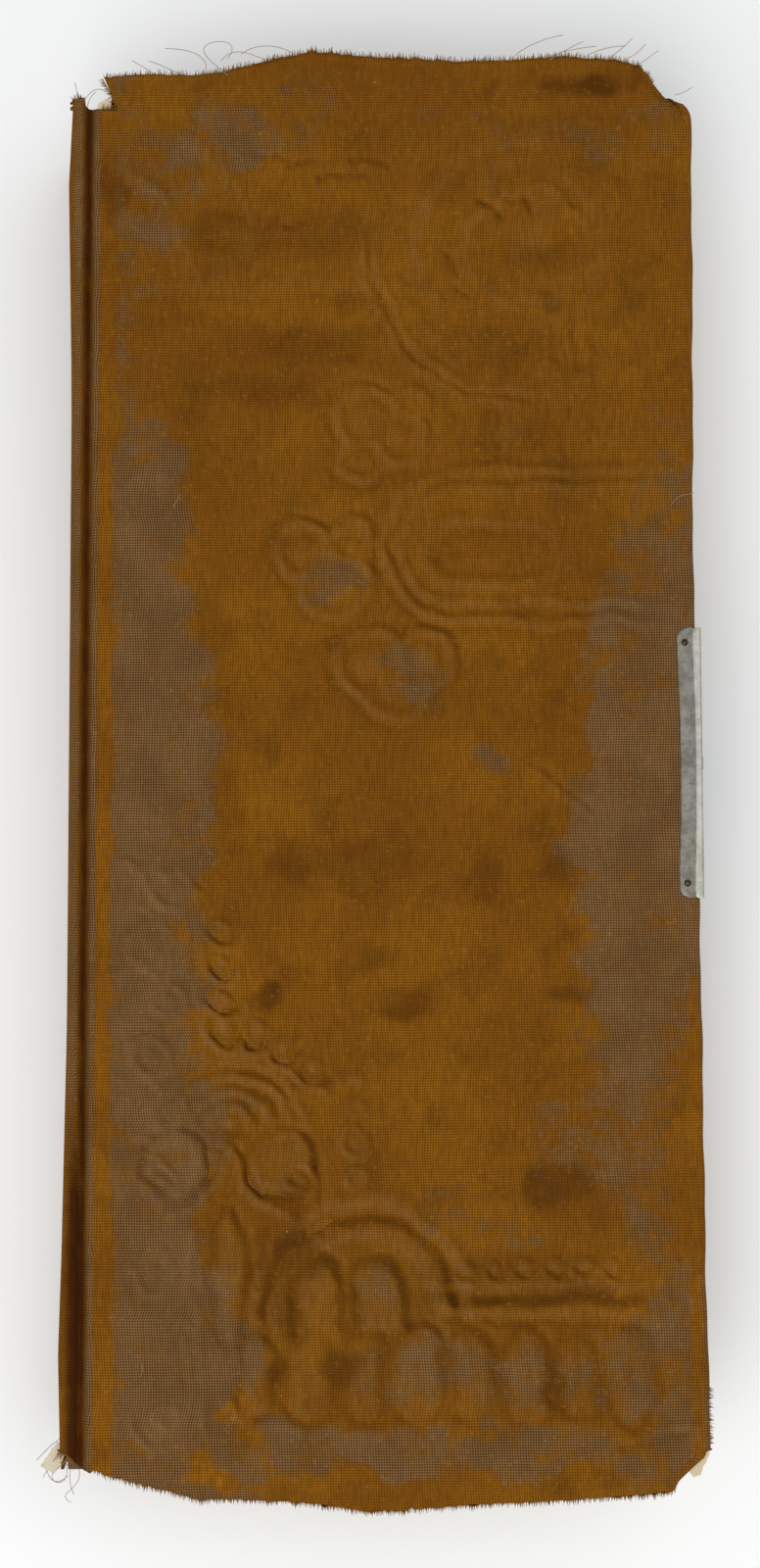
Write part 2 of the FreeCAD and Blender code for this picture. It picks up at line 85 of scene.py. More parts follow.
soft_lamp("tail_lamp", (-0.55, -1.15, 2.0), (0, -0.1, 0), 1.9, 33.0, (1.0, 0.99, 0.97))
soft_lamp("head_lamp", (0.7, 0.5, 1.9), (0.1, 0.05, 0), 1.6, 9.0, (0.98, 0.99, 1.0))
surround = bpy.data.worlds.new("surround")
surround.use_nodes = True
surround.node_tree.nodes["Background"].inputs["Color"].default_value = (0.95, 0.97, 1.0, 1)
surround.node_tree.nodes["Background"].inputs["Strength"].default_value = 0.57
scene.world = surround

camera_data = bpy.data.cameras.new("camera")
camera_data.sensor_width = 36.0
camera_data.lens = 54.36
camera = bpy.data.objects.new("camera", camera_data)
tilt, roll, turn = [Matrix.Rotation(math.radians(angle), 4, axis)
                    for angle, axis in ((4.43, "X"), (-0.11, "Y"), (-0.14, "Z"))]
camera.matrix_world = Matrix.Translation((-0.0056, -0.0575, 0.7515)) @ tilt @ roll @ turn
scene.collection.objects.link(camera)
scene.camera = camera


# ------------------------------------------------------------------ front velvet: the cloth
# One piece of cotton velvet: glued inside the fore-edge, over the front board, down into
# the joint and round the spine. Its turn-ins at head and tail have come loose and stand
# out as flaps. Sizes are in millimetres, but shaders and node trees take metres.
MM = 0.001


def box_mm(node):
    """A CAD node's lowest and highest corners, in millimetres."""
    return [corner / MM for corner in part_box(node)]


board_low, board_high = box_mm("front_board")
spine_low, spine_high = box_mm("spine_velvet")
card_top = box_mm("relief_underlay")[1].z
TOP_FACE = card_top + 1.0             # plain velvet between the raised figures
EDGE_X = board_high.x + 1.2           # outer face of the velvet on the fore-edge
INSIDE = board_low.z - 0.8            # velvet face of the turn-in
TURN_IN = 15                          # how far the cloth is turned in on the fore-edge
EDGE_STEP = 0.75                      # between the mesh points round an edge


def ease(value, start, end):
    """0 before start, 1 after end, and a smooth rise between them."""
    t = np.clip((value - start) / (end - start), 0, 1)
    return t * t * (3 - 2 * t)


def length_along(points):
    """The distance of each point along a line of points."""
    return np.r_[0, np.cumsum(np.hypot(*np.diff(points, axis=0).T))]


def resample(points, step):
    """Points a set step apart along a line of points."""
    points = np.array(points, float)
    run = length_along(points)
    at = np.linspace(0, run[-1], max(2, round(run[-1] / step) + 1))
    return [(np.interp(t, run, points[:, 0]), np.interp(t, run, points[:, 1])) for t in at]


def round_turn(centre, radius, start, end, count=9):
    """Points on an arc, angles in degrees."""
    angles = np.radians(np.linspace(start, end, count))
    return [(centre[0] + radius * math.cos(a), centre[1] + radius * math.sin(a)) for a in angles]


def uneven(shape, cells, seed):
    """A smooth random field from 0 to 1 on a grid, with the given number of cells each way."""
    source = np.random.default_rng(seed).random((cells[0] + 2, cells[1] + 2))
    fields = []
    for axis in (0, 1):
        at = np.linspace(0, cells[axis], shape[axis])
        low = np.floor(at).astype(int)
        fields.append((low, ease(at - low, 0, 1)))
    (i, a), (j, b) = fields
    a, b = a[:, None], b[None, :]
    near = source[np.ix_(i, j)] * (1 - b) + source[np.ix_(i, j + 1)] * b
    far = source[np.ix_(i + 1, j)] * (1 - b) + source[np.ix_(i + 1, j + 1)] * b
    return near * (1 - a) + far * a


def cloth_mesh(name, outer, depth, keep_across, keep_along, values):
    """A closed piece of cloth. outer holds the worn face's points, one row of the array
    for each column across the book. The under face keeps only the columns and rows named,
    depth below the worn face, and the rims join the two. values are kept as attributes."""
    across, along = outer.shape[:2]
    kept = np.ix_(keep_across, keep_along)
    few = len(keep_along)
    normal = np.cross(np.gradient(outer, axis=1), np.gradient(outer, axis=0))
    normal = normal / np.maximum(np.linalg.norm(normal, axis=2, keepdims=True), 1e-9)
    under = (outer - normal * depth[..., None])[kept]
    points = np.concatenate([outer.reshape(-1, 3), under.reshape(-1, 3)]) * MM

    def top(i, j):
        return i * along + j

    def low(i, j):
        return across * along + i * few + j

    faces = [(top(i, j), top(i, j + 1), top(i + 1, j + 1), top(i + 1, j))
             for i in range(across - 1) for j in range(along - 1)]
    faces += [(low(i, j), low(i + 1, j), low(i + 1, j + 1), low(i, j + 1))
              for i in range(len(keep_across) - 1) for j in range(few - 1)]
    for n, (a, b) in enumerate(zip(keep_across, keep_across[1:])):
        for edge, inner, way in ((0, 0, 1), (along - 1, few - 1, -1)):
            rim = [top(i, edge) for i in range(a, b + 1)] + [low(n + 1, inner), low(n, inner)]
            faces.append(tuple(rim[::way]))
    for n, (a, b) in enumerate(zip(keep_along, keep_along[1:])):
        for edge, inner, way in ((0, 0, -1), (across - 1, len(keep_across) - 1, 1)):
            rim = [top(edge, j) for j in range(a, b + 1)] + [low(inner, n + 1), low(inner, n)]
            faces.append(tuple(rim[::way]))
    mesh = bpy.data.meshes.new(name)
    mesh.from_pydata([tuple(p) for p in points], [], faces)
    mesh.polygons.foreach_set("use_smooth", [True] * len(mesh.polygons))
    for label, value in values.items():
        store = mesh.attributes.new(label, "FLOAT", "POINT")
        spread = np.concatenate([value.ravel(), value[kept].ravel()])
        store.data.foreach_set("value", spread.astype(np.float32))
    # The weave follows the cloth: the distance across it and along it, as shares of 0.5 m.
    sideways = np.diff(outer, axis=0, prepend=outer[:1])[..., ::2]
    run_across = np.cumsum(np.linalg.norm(sideways, axis=2), axis=0)
    run_along = outer[..., 1] - outer[..., 1].min() + 20.0
    both = np.stack([run_across, run_along], axis=2) / 500
    both = np.concatenate([both.reshape(-1, 2), both[kept].reshape(-1, 2)])
    corner = np.zeros(len(mesh.loops), np.int32)
    mesh.loops.foreach_get("vertex_index", corner)
    layer = mesh.uv_layers.new(name="weave")
    layer.data.foreach_set("uv", both[corner].astype(np.float32).ravel())
    mesh.validate()
    piece = bpy.data.objects.new(name, mesh)
    scene.collection.objects.link(piece)
    return piece


# Columns across the book: turn-in, fore-edge, top, then joint and spine, which swell
# outwards near head and tail and draw in at mid-length.
turn_in_line = [(x, INSIDE) for x in np.linspace(board_high.x - TURN_IN, board_high.x - 0.7, 8)]
fore_line = resample(round_turn((EDGE_X - 1.0, INSIDE + 1.0), 1.0, -90, 0)
                     + round_turn((EDGE_X - 1.5, TOP_FACE - 1.5), 1.5, 0, 90), EDGE_STEP)
top_line = [(x, TOP_FACE) for x in np.linspace(EDGE_X - 2.7, board_low.x + 1.0, 153)]
fixed_line = np.array(turn_in_line + fore_line + top_line)
first_top = len(turn_in_line) + len(fore_line)
first_joint = len(fixed_line)

SWELL_AT = (-204, -175, -146, -60, -23, 0, 85, 177, 202)
SWELL_TO = (-98.3, -99.1, -98.3, -96.8, -96.4, -96.3, -96.5, -98.5, -97.4)
SPINE_MIDDLE = (spine_low.z + spine_high.z) / 2
SPINE_BOW = 2.0                       # how far the spine stands out at its middle
bow_radius = ((spine_high.z - spine_low.z) ** 2 / 4 + SPINE_BOW ** 2) / (2 * SPINE_BOW)


def joint_and_spine(y):
    """The cloth's line at one place along the book, from the board's edge over the joint
    and the shoulder, down the spine to the back joint."""
    shoulder = np.interp(y, SWELL_AT, SWELL_TO)
    swell = shoulder + 97.0
    line = [(-89.2, TOP_FACE + 0.15), (-90.0, TOP_FACE - 0.15), (-90.8, 50.0), (-91.4, 49.2),
            (-92.1, 48.9), (-92.8, 49.3), (-93.4, 50.2), (-94.2, 50.75), (-95.2, 50.55),
            (shoulder + 0.8, 49.7), (shoulder, 48.3)]
    for z in (46.6, 44, 41, 37, 32, SPINE_MIDDLE, 19.5, 14, 10, 7, 5):
        bow = spine_low.x + bow_radius - math.sqrt(bow_radius ** 2 - (z - SPINE_MIDDLE) ** 2)
        line.append((min(bow, bow + swell * math.exp(-(48 - z) / 9)), z))
    return np.array(line + [(-97.0, 3.4), (-96.4, 2.5)])


SHOULDER_KNOT = 10
joint_knots = joint_and_spine(0.0)
knot_run = length_along(joint_knots)
joint_end = knot_run[SHOULDER_KNOT]
joint_at = np.r_[np.linspace(0, joint_end, 27), np.linspace(joint_end, knot_run[-1], 33)[1:]]

# Where the cloth is cut at head and tail, from the joint to the fore-edge.
HEAD_FLAP = ((-90, 211.5), (-87.8, 212.1), (-77, 212.7), (-59.6, 212.9), (-47, 215.2), (-35.8, 218.2),
             (-23.9, 220.4), (-12, 219.4), (0, 218.2), (20.7, 216.9), (36, 217.6), (53.4, 218.8),
             (68, 218.0), (77.2, 215.6), (82, 211.8), (84.1, 207.6), (86, 205.4), (92, 205.2))
TAIL_FLAP = ((-92, -201.5), (-86, -203.2), (-83.9, -204.4), (-64, -209.4), (-58.3, -211.6),
             (-45, -211.4), (-29.9, -212.2), (-17, -213.6), (-7.7, -215.4), (6, -214.2), (27, -212.9),
             (55.5, -211.6), (70, -210.6), (79.3, -209.8), (80.6, -207), (81.2, -202.6), (92, -196.6))
MITRE_X = -82.8                       # the head flap's end by the joint, cut at a slant
TAIL_CUT_X = 80.9                     # the tail flap's end by the fore-edge
MAIN_ROWS, TAIL_ROWS, HEAD_ROWS = 349, 9, 14

columns = first_joint + len(joint_at)
rows = TAIL_ROWS + MAIN_ROWS + HEAD_ROWS
column_x = np.r_[fixed_line[:, 0], np.interp(joint_at, knot_run, joint_knots[:, 0])]
column_z = np.r_[fixed_line[:, 1], np.interp(joint_at, knot_run, joint_knots[:, 1])]
order = np.arange(columns)
wrapped = order < first_top
on_top = (order >= first_top) & (order < first_joint)
on_spine = order >= first_joint
on_low_spine = on_spine & (column_z < 44)
ragged = np.random.default_rng(11).normal(0, 0.22, (2, columns))

head_edge = np.where(wrapped, 204.8, 201.6)
head_edge = np.where(on_spine, np.interp(-column_x, (89, 92.5, 94.5, 97, 99),
                                         (201.8, 202.6, 205.6, 204.6, 203.9)), head_edge)
head_end = np.where(on_top & (column_x > MITRE_X), np.interp(column_x, *zip(*HEAD_FLAP)),
                    head_edge + 0.3) + ragged[0]
tail_edge = np.maximum(-204.2, -202.4 + 0.52 * np.clip(np.where(wrapped, EDGE_X, column_x) - 80.8, 0, None))
tail_edge = np.where(on_spine, np.interp(-column_x, (89, 92, 96, 99), (-203.4, -202.0, -197.2, -200.5)),
                     tail_edge)
tail_end = np.where(on_top & (column_x < TAIL_CUT_X), np.interp(column_x, *zip(*TAIL_FLAP)),
                    tail_edge - 0.3)
tail_edge = np.where(on_low_spine, -203.6, tail_edge)
tail_end = np.where(on_low_spine, -203.9, tail_end) + ragged[1]


def rows_between(low, high, shares):
    """Places along the book for every column, at shares of the way from low to high."""
    return low[:, None] + (high - low)[:, None] * shares


grid_y = np.concatenate([
    rows_between(tail_end, tail_edge, np.linspace(0, 1, TAIL_ROWS, endpoint=False)),
    rows_between(tail_edge, head_edge, np.linspace(0, 1, MAIN_ROWS)),
    rows_between(head_edge, head_end, np.linspace(0, 1, HEAD_ROWS + 1)[1:])], axis=1)
grid_x = np.repeat(column_x[:, None], rows, axis=1)
grid_z = np.repeat(column_z[:, None], rows, axis=1)
for j in range(rows):
    line = joint_and_spine(grid_y[first_joint + 8, j])
    for grid, knots in ((grid_x, line[:, 0]), (grid_z, line[:, 1])):
        grid[first_joint:, j] = np.interp(joint_at, knot_run, knots)
for grid in (grid_x, grid_z):
    for _ in range(3):
        soft = grid[first_joint - 6:].copy()
        soft[1:-1] = (soft[:-2] + 2 * soft[1:-1] + soft[2:]) / 4
        grid[first_joint - 6:] = soft

# The fore-edge swells a little at its corners, is rounded there and ripples along its length.
BULGE_AT = (-204, -185, -146, -75, -26, 30, 48, 60, 147, 198)
BULGE_TO = (1.5, 1.2, 0.6, 0.4, 0, 0, -0.2, -0.5, 0.4, 0.6)
CORNER_ROUND = 5.6
corner_in = np.clip(grid_y - 199.2, 0, CORNER_ROUND)
corner_x = CORNER_ROUND - np.sqrt(np.maximum(CORNER_ROUND ** 2 - corner_in ** 2, 0))
near_fore_edge = ease(grid_x, 70, 88) * ~on_spine[:, None]
grid_x += near_fore_edge * (np.interp(grid_y, BULGE_AT, BULGE_TO) - corner_x * 0.95)
fore_ripple = 0.25 * np.sin(grid_y / 7.3) + 0.2 * np.sin(grid_y / 3.1 + 2)
grid_x += ease(grid_x, 86, 90) * wrapped[:, None] * fore_ripple * 0.5

# Loose flaps: the mitred end at the head leans outwards, and both flaps wave and droop.
past_head = ease(grid_y, 200, 212) * np.clip(grid_y - 201, 0, None) * on_top[:, None]
past_tail = ease(-grid_y, 200, 212) * np.clip(-201 - grid_y, 0, None) * on_top[:, None]
lean = np.clip(grid_y - 201.6, 0, None) * (on_top & (column_x > MITRE_X))[:, None]
grid_x -= lean * 0.52 * np.exp(-np.clip(column_x - MITRE_X, 0, None) / 12)[:, None]
wave = (0.5 + 0.5 * np.sin(column_x / 17.0 + 0.8) + 0.35 * np.sin(column_x / 6.1))[:, None]
grid_z -= past_head * (0.10 - 0.07 * wave) + past_tail * (0.16 - 0.06 * wave)
puff = np.exp(-((grid_y - 207.5) / 3.0) ** 2) * np.sin(column_x / 31 + 1)[:, None] ** 2
grid_z += 0.25 * puff * on_top[:, None]


# ------------------------------------------------------------------ front velvet: raised figures
# Pressed over a shaped card with a hot die: a strap from the fore-edge that ends in three
# lobes, a wheel at the head, a beaded and scalloped ornament at the spine side, and a
# border of plain upright lobes at the tail. All of it low, soft and half rubbed away.
def cord_line(distance, half_width):
    """A rounded line, 1 at its middle."""
    return np.exp(-(distance / half_width) ** 2)


def bead(x, y, cx, cy, radius):
    """A small round boss, 1 at its middle."""
    return np.clip(1 - ((x - cx) ** 2 + (y - cy) ** 2) / radius ** 2, 0, None) ** 0.7


def to_ring(x, y, cx, cy, radius, stretch=1.0):
    """Distance to a circle, or to an oval stretched along the book."""
    return np.hypot(x - cx, (y - cy) / stretch) - radius


def to_stroke(x, y, *points):
    """Distance to a line through points."""
    best = np.full(x.shape, 1e9)
    for (x0, y0), (x1, y1) in zip(points, points[1:]):
        dx, dy = x1 - x0, y1 - y0
        t = np.clip(((x - x0) * dx + (y - y0) * dy) / (dx * dx + dy * dy), 0, 1)
        best = np.minimum(best, np.hypot(x - x0 - t * dx, y - y0 - t * dy))
    return best


def ribs(distance, *lines):
    """Lines at set distances: each one's height, distance and half-width. Below 0 it is sunk."""
    return sum(height * cord_line(distance - at, half) for height, at, half in lines)


def strokes(x, y, *lines):
    """Drawn lines: each one's height, half-width and points. Below 0 it is sunk."""
    return sum(height * cord_line(to_stroke(x, y, *points), half) for height, half, *points in lines)


def boss(x, y, cx, cy, ring, dot=(1, 0)):
    """A ring (radius, height, half-width) round a bead (radius, height)."""
    return (ring[1] * cord_line(to_ring(x, y, cx, cy, ring[0]), ring[2])
            + dot[1] * bead(x, y, cx, cy, dot[0]))


def between(angle, low, high, soft=12):
    """1 for angles in a range of degrees, fading out past its ends."""
    middle, half = (low + high) / 2, (high - low) / 2
    off = np.abs((angle - middle + 180) % 360 - 180)
    return 1 - ease(off, half, half + soft)


def around(x, y, cx, cy):
    """Distance from a middle, and the angle round it in degrees."""
    return np.hypot(x - cx, y - cy), np.degrees(np.arctan2(y - cy, x - cx))


def strap(x, y):
    """Two double lines that close in a round end, round a sunken oval."""
    out = np.hypot(np.minimum(x - 20, 0), y - 68)
    oval = np.hypot(np.minimum(x - 20, 0) + np.maximum(x - 40, 0), (y - 66) * 1.1)
    total = ribs(out, (1, 17.3, 1.1), (1, 22.6, 1.1), (-0.7, 20, 1.2), (-0.5, 25.2, 1.3))
    total += ribs(oval, (0.8, 10.5, 1.6), (-0.6, 7, 1.6))
    total += strokes(x, y, (-0.9, 1.2, (11, 65.5), (20, 66)))
    total += 0.5 * cord_line(np.abs(x - 55) + 0.3 * np.abs(y - 66), 3) * (np.abs(y - 66) < 14)
    return total * (1 - 0.75 * ease(x, 62, 84))


def lobes(x, y):
    """Scalloped lobes at the strap's end: each a puffed patch with a raised rim."""
    total = np.zeros(x.shape)
    for group in (((-27, 67, 8), (-17, 57, 9.5), (-12, 69, 6)),
                  ((-8, 107, 9), (2, 101, 7.5), (-9, 94, 6.5), (5, 111, 5)),
                  ((-7, 33, 9.5), (0, 26, 9.5), (10, 34, 8))):
        rim = np.min([to_ring(x, y, *circle) for circle in group], axis=0)
        total += ribs(rim, (1.05, 0, 1.25), (-0.75, 2.6, 1.2), (-0.45, -3.4, 1.1))
        total += 0.35 * ease(-rim, 1.5, 5)
        total += sum(0.4 * bead(x, y, cx, cy, radius * 0.36) for cx, cy, radius in group)
    return total


def wheel(x, y):
    """Broken rings round a puffed, wrinkled middle near the head."""
    out, angle = around(x, y, 41, 160)
    total = between(angle, 175, 262) * ribs(out, (0.9, 45.6, 1.1), (0.9, 49.4, 1.1), (-0.6, 47.5, 1))
    total += between(angle, 95, 200, 25) * ribs(out, (0.7, 33, 2.0))
    total += between(angle, -70, 60, 25) * ribs(out, (0.6, 24, 1.8))
    scallop = out - 16 - 2.2 * np.abs(np.sin(np.radians(angle) * 4))
    total += 0.8 * cord_line(scallop, 1.6) + 0.5 * bead(x, y, 41, 160, 8)
    total += strokes(x, y, (0.5, 2.2, (10, 176), (13, 168), (8, 161)), (0.7, 2.4, (29, 181), (37, 187)),
                     (0.7, 2.4, (49, 176), (47, 167), (40, 162)), (0.6, 1.2, (-33, 163), (-24, 164.5)))
    creases = (((18, 157), (21, 151)), ((19, 147), (24, 143)), ((27, 174), (32, 169)),
               ((33, 175), (39, 175), (42, 170)), ((42, 160), (44, 155)), ((54, 173), (57, 173)),
               ((-2, 186), (-13, 186)), ((-8, 181), (-21, 180)), ((-24, 186), (-30, 184), (-31, 183)),
               ((-43, 189), (-32, 186)), ((-32, 165), (-27, 166)))
    return total + strokes(x, y, *((-1.3, 0.8, *crease) for crease in creases))


def spine_side(x, y):
    """Head of the spine side: two wide arcs and two faint rails; then bars and beads by the
    wheel."""
    out, angle = around(x, y, -97, 150)
    total = between(angle, 4, 66) * ribs(out, (0.75, 37, 2.0))
    total += between(angle, 12, 48) * ribs(out, (0.55, 56, 1.8))
    rails = (1 - ease(x, 5, 15)) * ease(x, -78, -60)
    total += 0.35 * rails * ribs(y, (1, 164, 1.0), (1, 148, 1.4), (-1, 144, 1.2))
    total += 0.5 * bead(x, y, -52, 154, 6) + boss(x, y, -50, 166, (5, -0.5, 1.6))
    for cx, cy in ((36.5, 116), (38, 104), (50, 114), (56, 118), (46, 121)):
        total += boss(x, y, cx, cy, (2.6, 0.7, 1.0), (2, 0.4))
    for cx, cy in ((10, 133), (20, 128)):
        total += boss(x, y, cx, cy, (3.4, 0.6, 1.0))
    bars = ((28, 112, 92), (31, 108, 90), (52, 110, 95), (60, 130, 100), (48, 136, 122), (54, 138, 122))
    return total + strokes(x, y, *((-0.8, 0.9, (cx, top_y), (cx, end_y)) for cx, top_y, end_y in bars))


def cupped(x, y, cx, cy, ring, rim, groove, low, high):
    """The lower part of a cup under a bead: a raised rim with a sunk line inside it."""
    out, angle = around(x, y, cx, cy)
    return between(angle, low, high, 25) * ribs(out - ring, rim, groove)


def scalloped_strip(x, y):
    """A strip of small cups and wavy lines by the joint."""
    total = strokes(x, y, (0.8, 1.0, (-57.5, -40), (-57.5, -76), (-53, -80)),
                    (0.7, 1.1, (-78, -27), (-72, -36), (-64, -40), (-58, -37)))
    for k, cy in enumerate(np.arange(-34, -120, -16.5)):
        total += boss(x, y, -72 if k % 2 else -66, cy, (5.2, 0.75, 1.0), (3, 0.45))
        total += strokes(x, y, (0.6, 1.1, (-80, cy - 8), (-74, cy - 6.5), (-69, cy - 9.5), (-63, cy - 7)),
                         (-0.6, 0.8, (-79, cy + 8.6), (-73, cy + 8)))
    return total


def beaded_turn(x, y):
    """Beads in cups that run down from the strip and turn the corner to the middle."""
    beads = ((-68.8, -30), (-59.7, -35), (-51, -44.8), (-51, -55.5), (-50.6, -66.6), (-50.6, -75.2),
             (-40.9, -75.2), (-31.6, -80.6), (-22.6, -87.4), (-12, -89))
    total = sum(1.25 * bead(x, y, cx, cy, 2.0) for cx, cy in beads)
    for cx, cy in beads[2:9]:
        total += cupped(x, y, cx, cy - 1.6, 4.4, (0.9, 0.9, 0.8), (-0.95, -0.6, 0.8), 200, 350)
    return total + strokes(x, y, (0.75, 1.0, (-56, -81), (-47, -82), (-38, -81), (-34, -86), (-27, -92),
                                  (-20, -95)))


def winged_fan(x, y):
    """Arches like a fan over a winged leaf with two curled lobes, a bud and small rings."""
    fan_x = -48.3
    out = np.hypot(x - fan_x, (y + 104) * 1.05)
    upper = ease(y, -107, -102)
    total = 0.8 * bead(x, y, fan_x, -102.5, 3.2)
    for radius, height in ((5.6, 0.8), (10.6, 0.9), (15.6, 0.9), (20.5, 0.55)):
        total += upper * ribs(out - radius, (height, 0, 1.15), (-0.8 * height, -2.3, 1.0))
    total += strokes(x, y, (-0.7, 1.2, (-53, -106), (-43, -106)),
                     (0.7, 1.3, (-34, -96), (-27, -101), (-30, -106)),
                     (0.5, 0.9, (-30, -89), (-22, -93)), (-0.7, 0.9, (-29, -92), (-22, -95)),
                     (-0.7, 0.7, (-22, -116), (-22, -136)))
    for side in (-1, 1):
        u = (x - fan_x) * side
        blade = to_ring(u, y, 15.5, -115, 9.5, 0.95)
        total += 0.5 * ease(-blade, 0, 3) + ribs(blade, (0.55, -1.2, 1.0), (-0.75, 1.0, 0.9))
        total += ribs(to_ring(u, y, 20.5, -119.5, 4.2), (0.7, 0, 0.9), (-0.8, -1.8, 0.9))
        total += strokes(u, y, (0.9, 1.2, (0.6, -111), (3, -119), (8, -126), (16, -129.5)),
                         (-1.0, 0.8, (2.2, -111), (4.8, -118.5), (9, -124.5)))
    for cx, cy, radius in ((-12.2, -109, 3.6), (-11.6, -118.3, 2.6), (-12, -98, 2.2)):
        total += boss(x, y, cx, cy, (radius, 0.7, 0.9)) + 0.5 * bead(x, y, cx + 1, cy, 1.6)
    bud = np.abs(x - fan_x) - 4.2 * np.sqrt(np.clip(1 - ((y + 147) / 19) ** 2, 0, 1))
    total += 0.9 * ease(-bud, 0, 2.0) * (np.abs(y + 147) < 19)
    return total - 0.9 * cord_line(bud - 1.5, 1.2) * (np.abs(y + 147) < 21)


def hanging_drops(x, y):
    """Rings and a long drop by the joint at the tail."""
    total = boss(x, y, -71, -147, (5.5, 0.7, 1.2), (3, 0.5)) + boss(x, y, -66, -187, (3.6, 0.6, 1.0))
    width = (3 + 5 * ease(-y, 160, 186)) * np.sqrt(np.clip(1 - ((y + 178) / 19) ** 2, 0, 1))
    drop = np.abs(x + 67 - 0.22 * (y + 180)) - width
    total += (0.8 * cord_line(drop, 1.2) + 0.4 * ease(-drop, 1.5, 3.5)) * (np.abs(y + 178) < 19)
    return total + strokes(x, y, (0.7, 1.4, (-60, -134), (-61, -150), (-57, -166), (-56, -192)))


def tail_border(x, y):
    """A fan of plain arches, a row of beads in cups over two lines, and a row of upright
    rounded lobes."""
    out = np.hypot(x + 9, (y + 160) * 0.92)
    total = ease(y, -163, -157) * (ribs(out, (0.9, 32.5, 1.8), (-0.9, 28.6, 1.3))
                                   + 0.8 * ease(-out, -27, -25) * ease(out, 20.5, 22.5))
    inside = ease(y, -166, -161)
    for cx in (-22, -4):
        arch = np.hypot(x - cx, np.maximum(y + 149, 0))
        total += inside * (0.75 * ease(-arch, -5.6, -4.0) - 0.95 * cord_line(arch - 7.4, 1.5) * (y < -128))
    for k in range(6):
        cx = 21 + 8.7 * k
        total += 1.1 * bead(x, y, cx, -144.5, 1.9)
        total += cupped(x, y, cx, -145, 3.9, (0.6, 0, 0.8), (-0.6, -1.3, 0.7), 195, 345)
    run = ease(x, 12, 17) * (1 - ease(x, 70, 76))
    total += run * ribs(y, (0.8, -150, 0.9), (-0.8, -153.2, 1.5), (0.7, -157, 1.2), (-0.7, -160.6, 1.1))
    for k in range(8):
        cx = -40 + 15.6 * k
        half, reach = (5.0, 12.5) if k % 2 else (4.3, 11.0)
        body = np.hypot(x - cx, np.maximum(np.abs(y + 176) - (reach - half), 0)) - half
        total += 0.6 * ease(-body, -0.8, 2.4) - 0.7 * cord_line(body - 1.9, 1.3)
        total -= 0.3 * cord_line(x - cx, 0.9) * ease(-body, 0.5, 2)
    base_line = ribs(y - 1.5 * np.sin(x / 20), (0.4, -190.5, 1.0))
    total += base_line * ease(x, -20, 0) * (1 - ease(x, 60, 75))
    return total + strokes(x, y, (0.5, 1.3, (-50, -184), (-40, -190), (-28, -192)))


def soft_folds(x, y):
    """Soft folds in the cloth near the head edge, at the tail corner and in the middle."""
    head_fold = ribs(y - 0.8 * np.sin(x / 25), (-0.35, 199.5, 1.2))
    return head_fold * ease(x, -60, -20) * (1 - ease(x, 70, 85)) + strokes(
        x, y, (0.8, 1.0, (66, -194), (78, -192), (92, -188.5)),
        (-0.8, 0.9, (66, -196), (79, -194), (92, -190.8)),
        (-0.35, 0.9, (40, 2), (50, -4), (59, -12)), (0.35, 0.9, (40, 0), (50, -6), (59, -14)))


FIGURES = (strap, lobes, wheel, spine_side, scalloped_strip, beaded_turn, winged_fan, hanging_drops,
           tail_border, soft_folds)
RELIEF_HIGH = 0.85


def drift(seed):
    """How far the die's lines have wandered in the soft pile, in broad and fine waves."""
    return (3.2 * (uneven((columns, rows), (24, 52), seed) - 0.5)
            + 1.2 * (uneven((columns, rows), (60, 130), seed + 1) - 0.5))


drift_x, drift_y = drift(31), drift(33)
rubbed_away = 0.45 + 0.75 * uneven((columns, rows), (16, 34), 35)
figures = rubbed_away * sum(figure(grid_x + drift_x, grid_y + drift_y) for figure in FIGURES)
faded = ease(90 - np.abs(grid_x), 1, 7) * ease(204 - np.abs(grid_y), 1, 6)
faint = 1 - 0.38 * ease(grid_y, -20, 10)
billow = uneven((columns, rows), (14, 30), 3) + 0.6 * uneven((columns, rows), (40, 84), 4) - 0.8
relief = np.clip(figures, -1.2, 1.6) * RELIEF_HIGH * faint * faded + 0.32 * billow
grid_z += np.where(on_top[:, None], relief, 0.1 * billow)

# Painted shade and light from the relief: the raised figures lighter and the grooves darker, and slopes that
# face the tail lamp lighter, the others darker.
relief_pattern = figures * faded * faint
painted_relief_shading = 0.6 * relief_pattern + 0.85 * (np.gradient(relief_pattern, axis=1) - np.gradient(relief_pattern, axis=0))

# ------------------------------------------------------------------ front velvet: wear
# How worn, stained or fresh the pile is at each point of the cloth, and how much shade is painted on it, from
# 0 to 1.
# Hands have rubbed it to the ground weave along the joint, the fore-edge and the tail.
patchy = uneven((columns, rows), (26, 56), 7) * 0.6 + uneven((columns, rows), (70, 150), 8) * 0.4


def patch(cx, cy, rx, ry):
    """1 inside an oval, fading to 0 outside it, with a wandering edge."""
    out = np.hypot((grid_x + 2.6 * drift_x - cx) / rx, (grid_y + 2.6 * drift_y - cy) / ry)
    return 1 - ease(out, 0.4, 1.5)


def strongest(ovals):
    """The strongest of several patches: each one's middle, half-sizes and strength."""
    return np.max([strength * patch(*oval) for *oval, strength in ovals], axis=0)


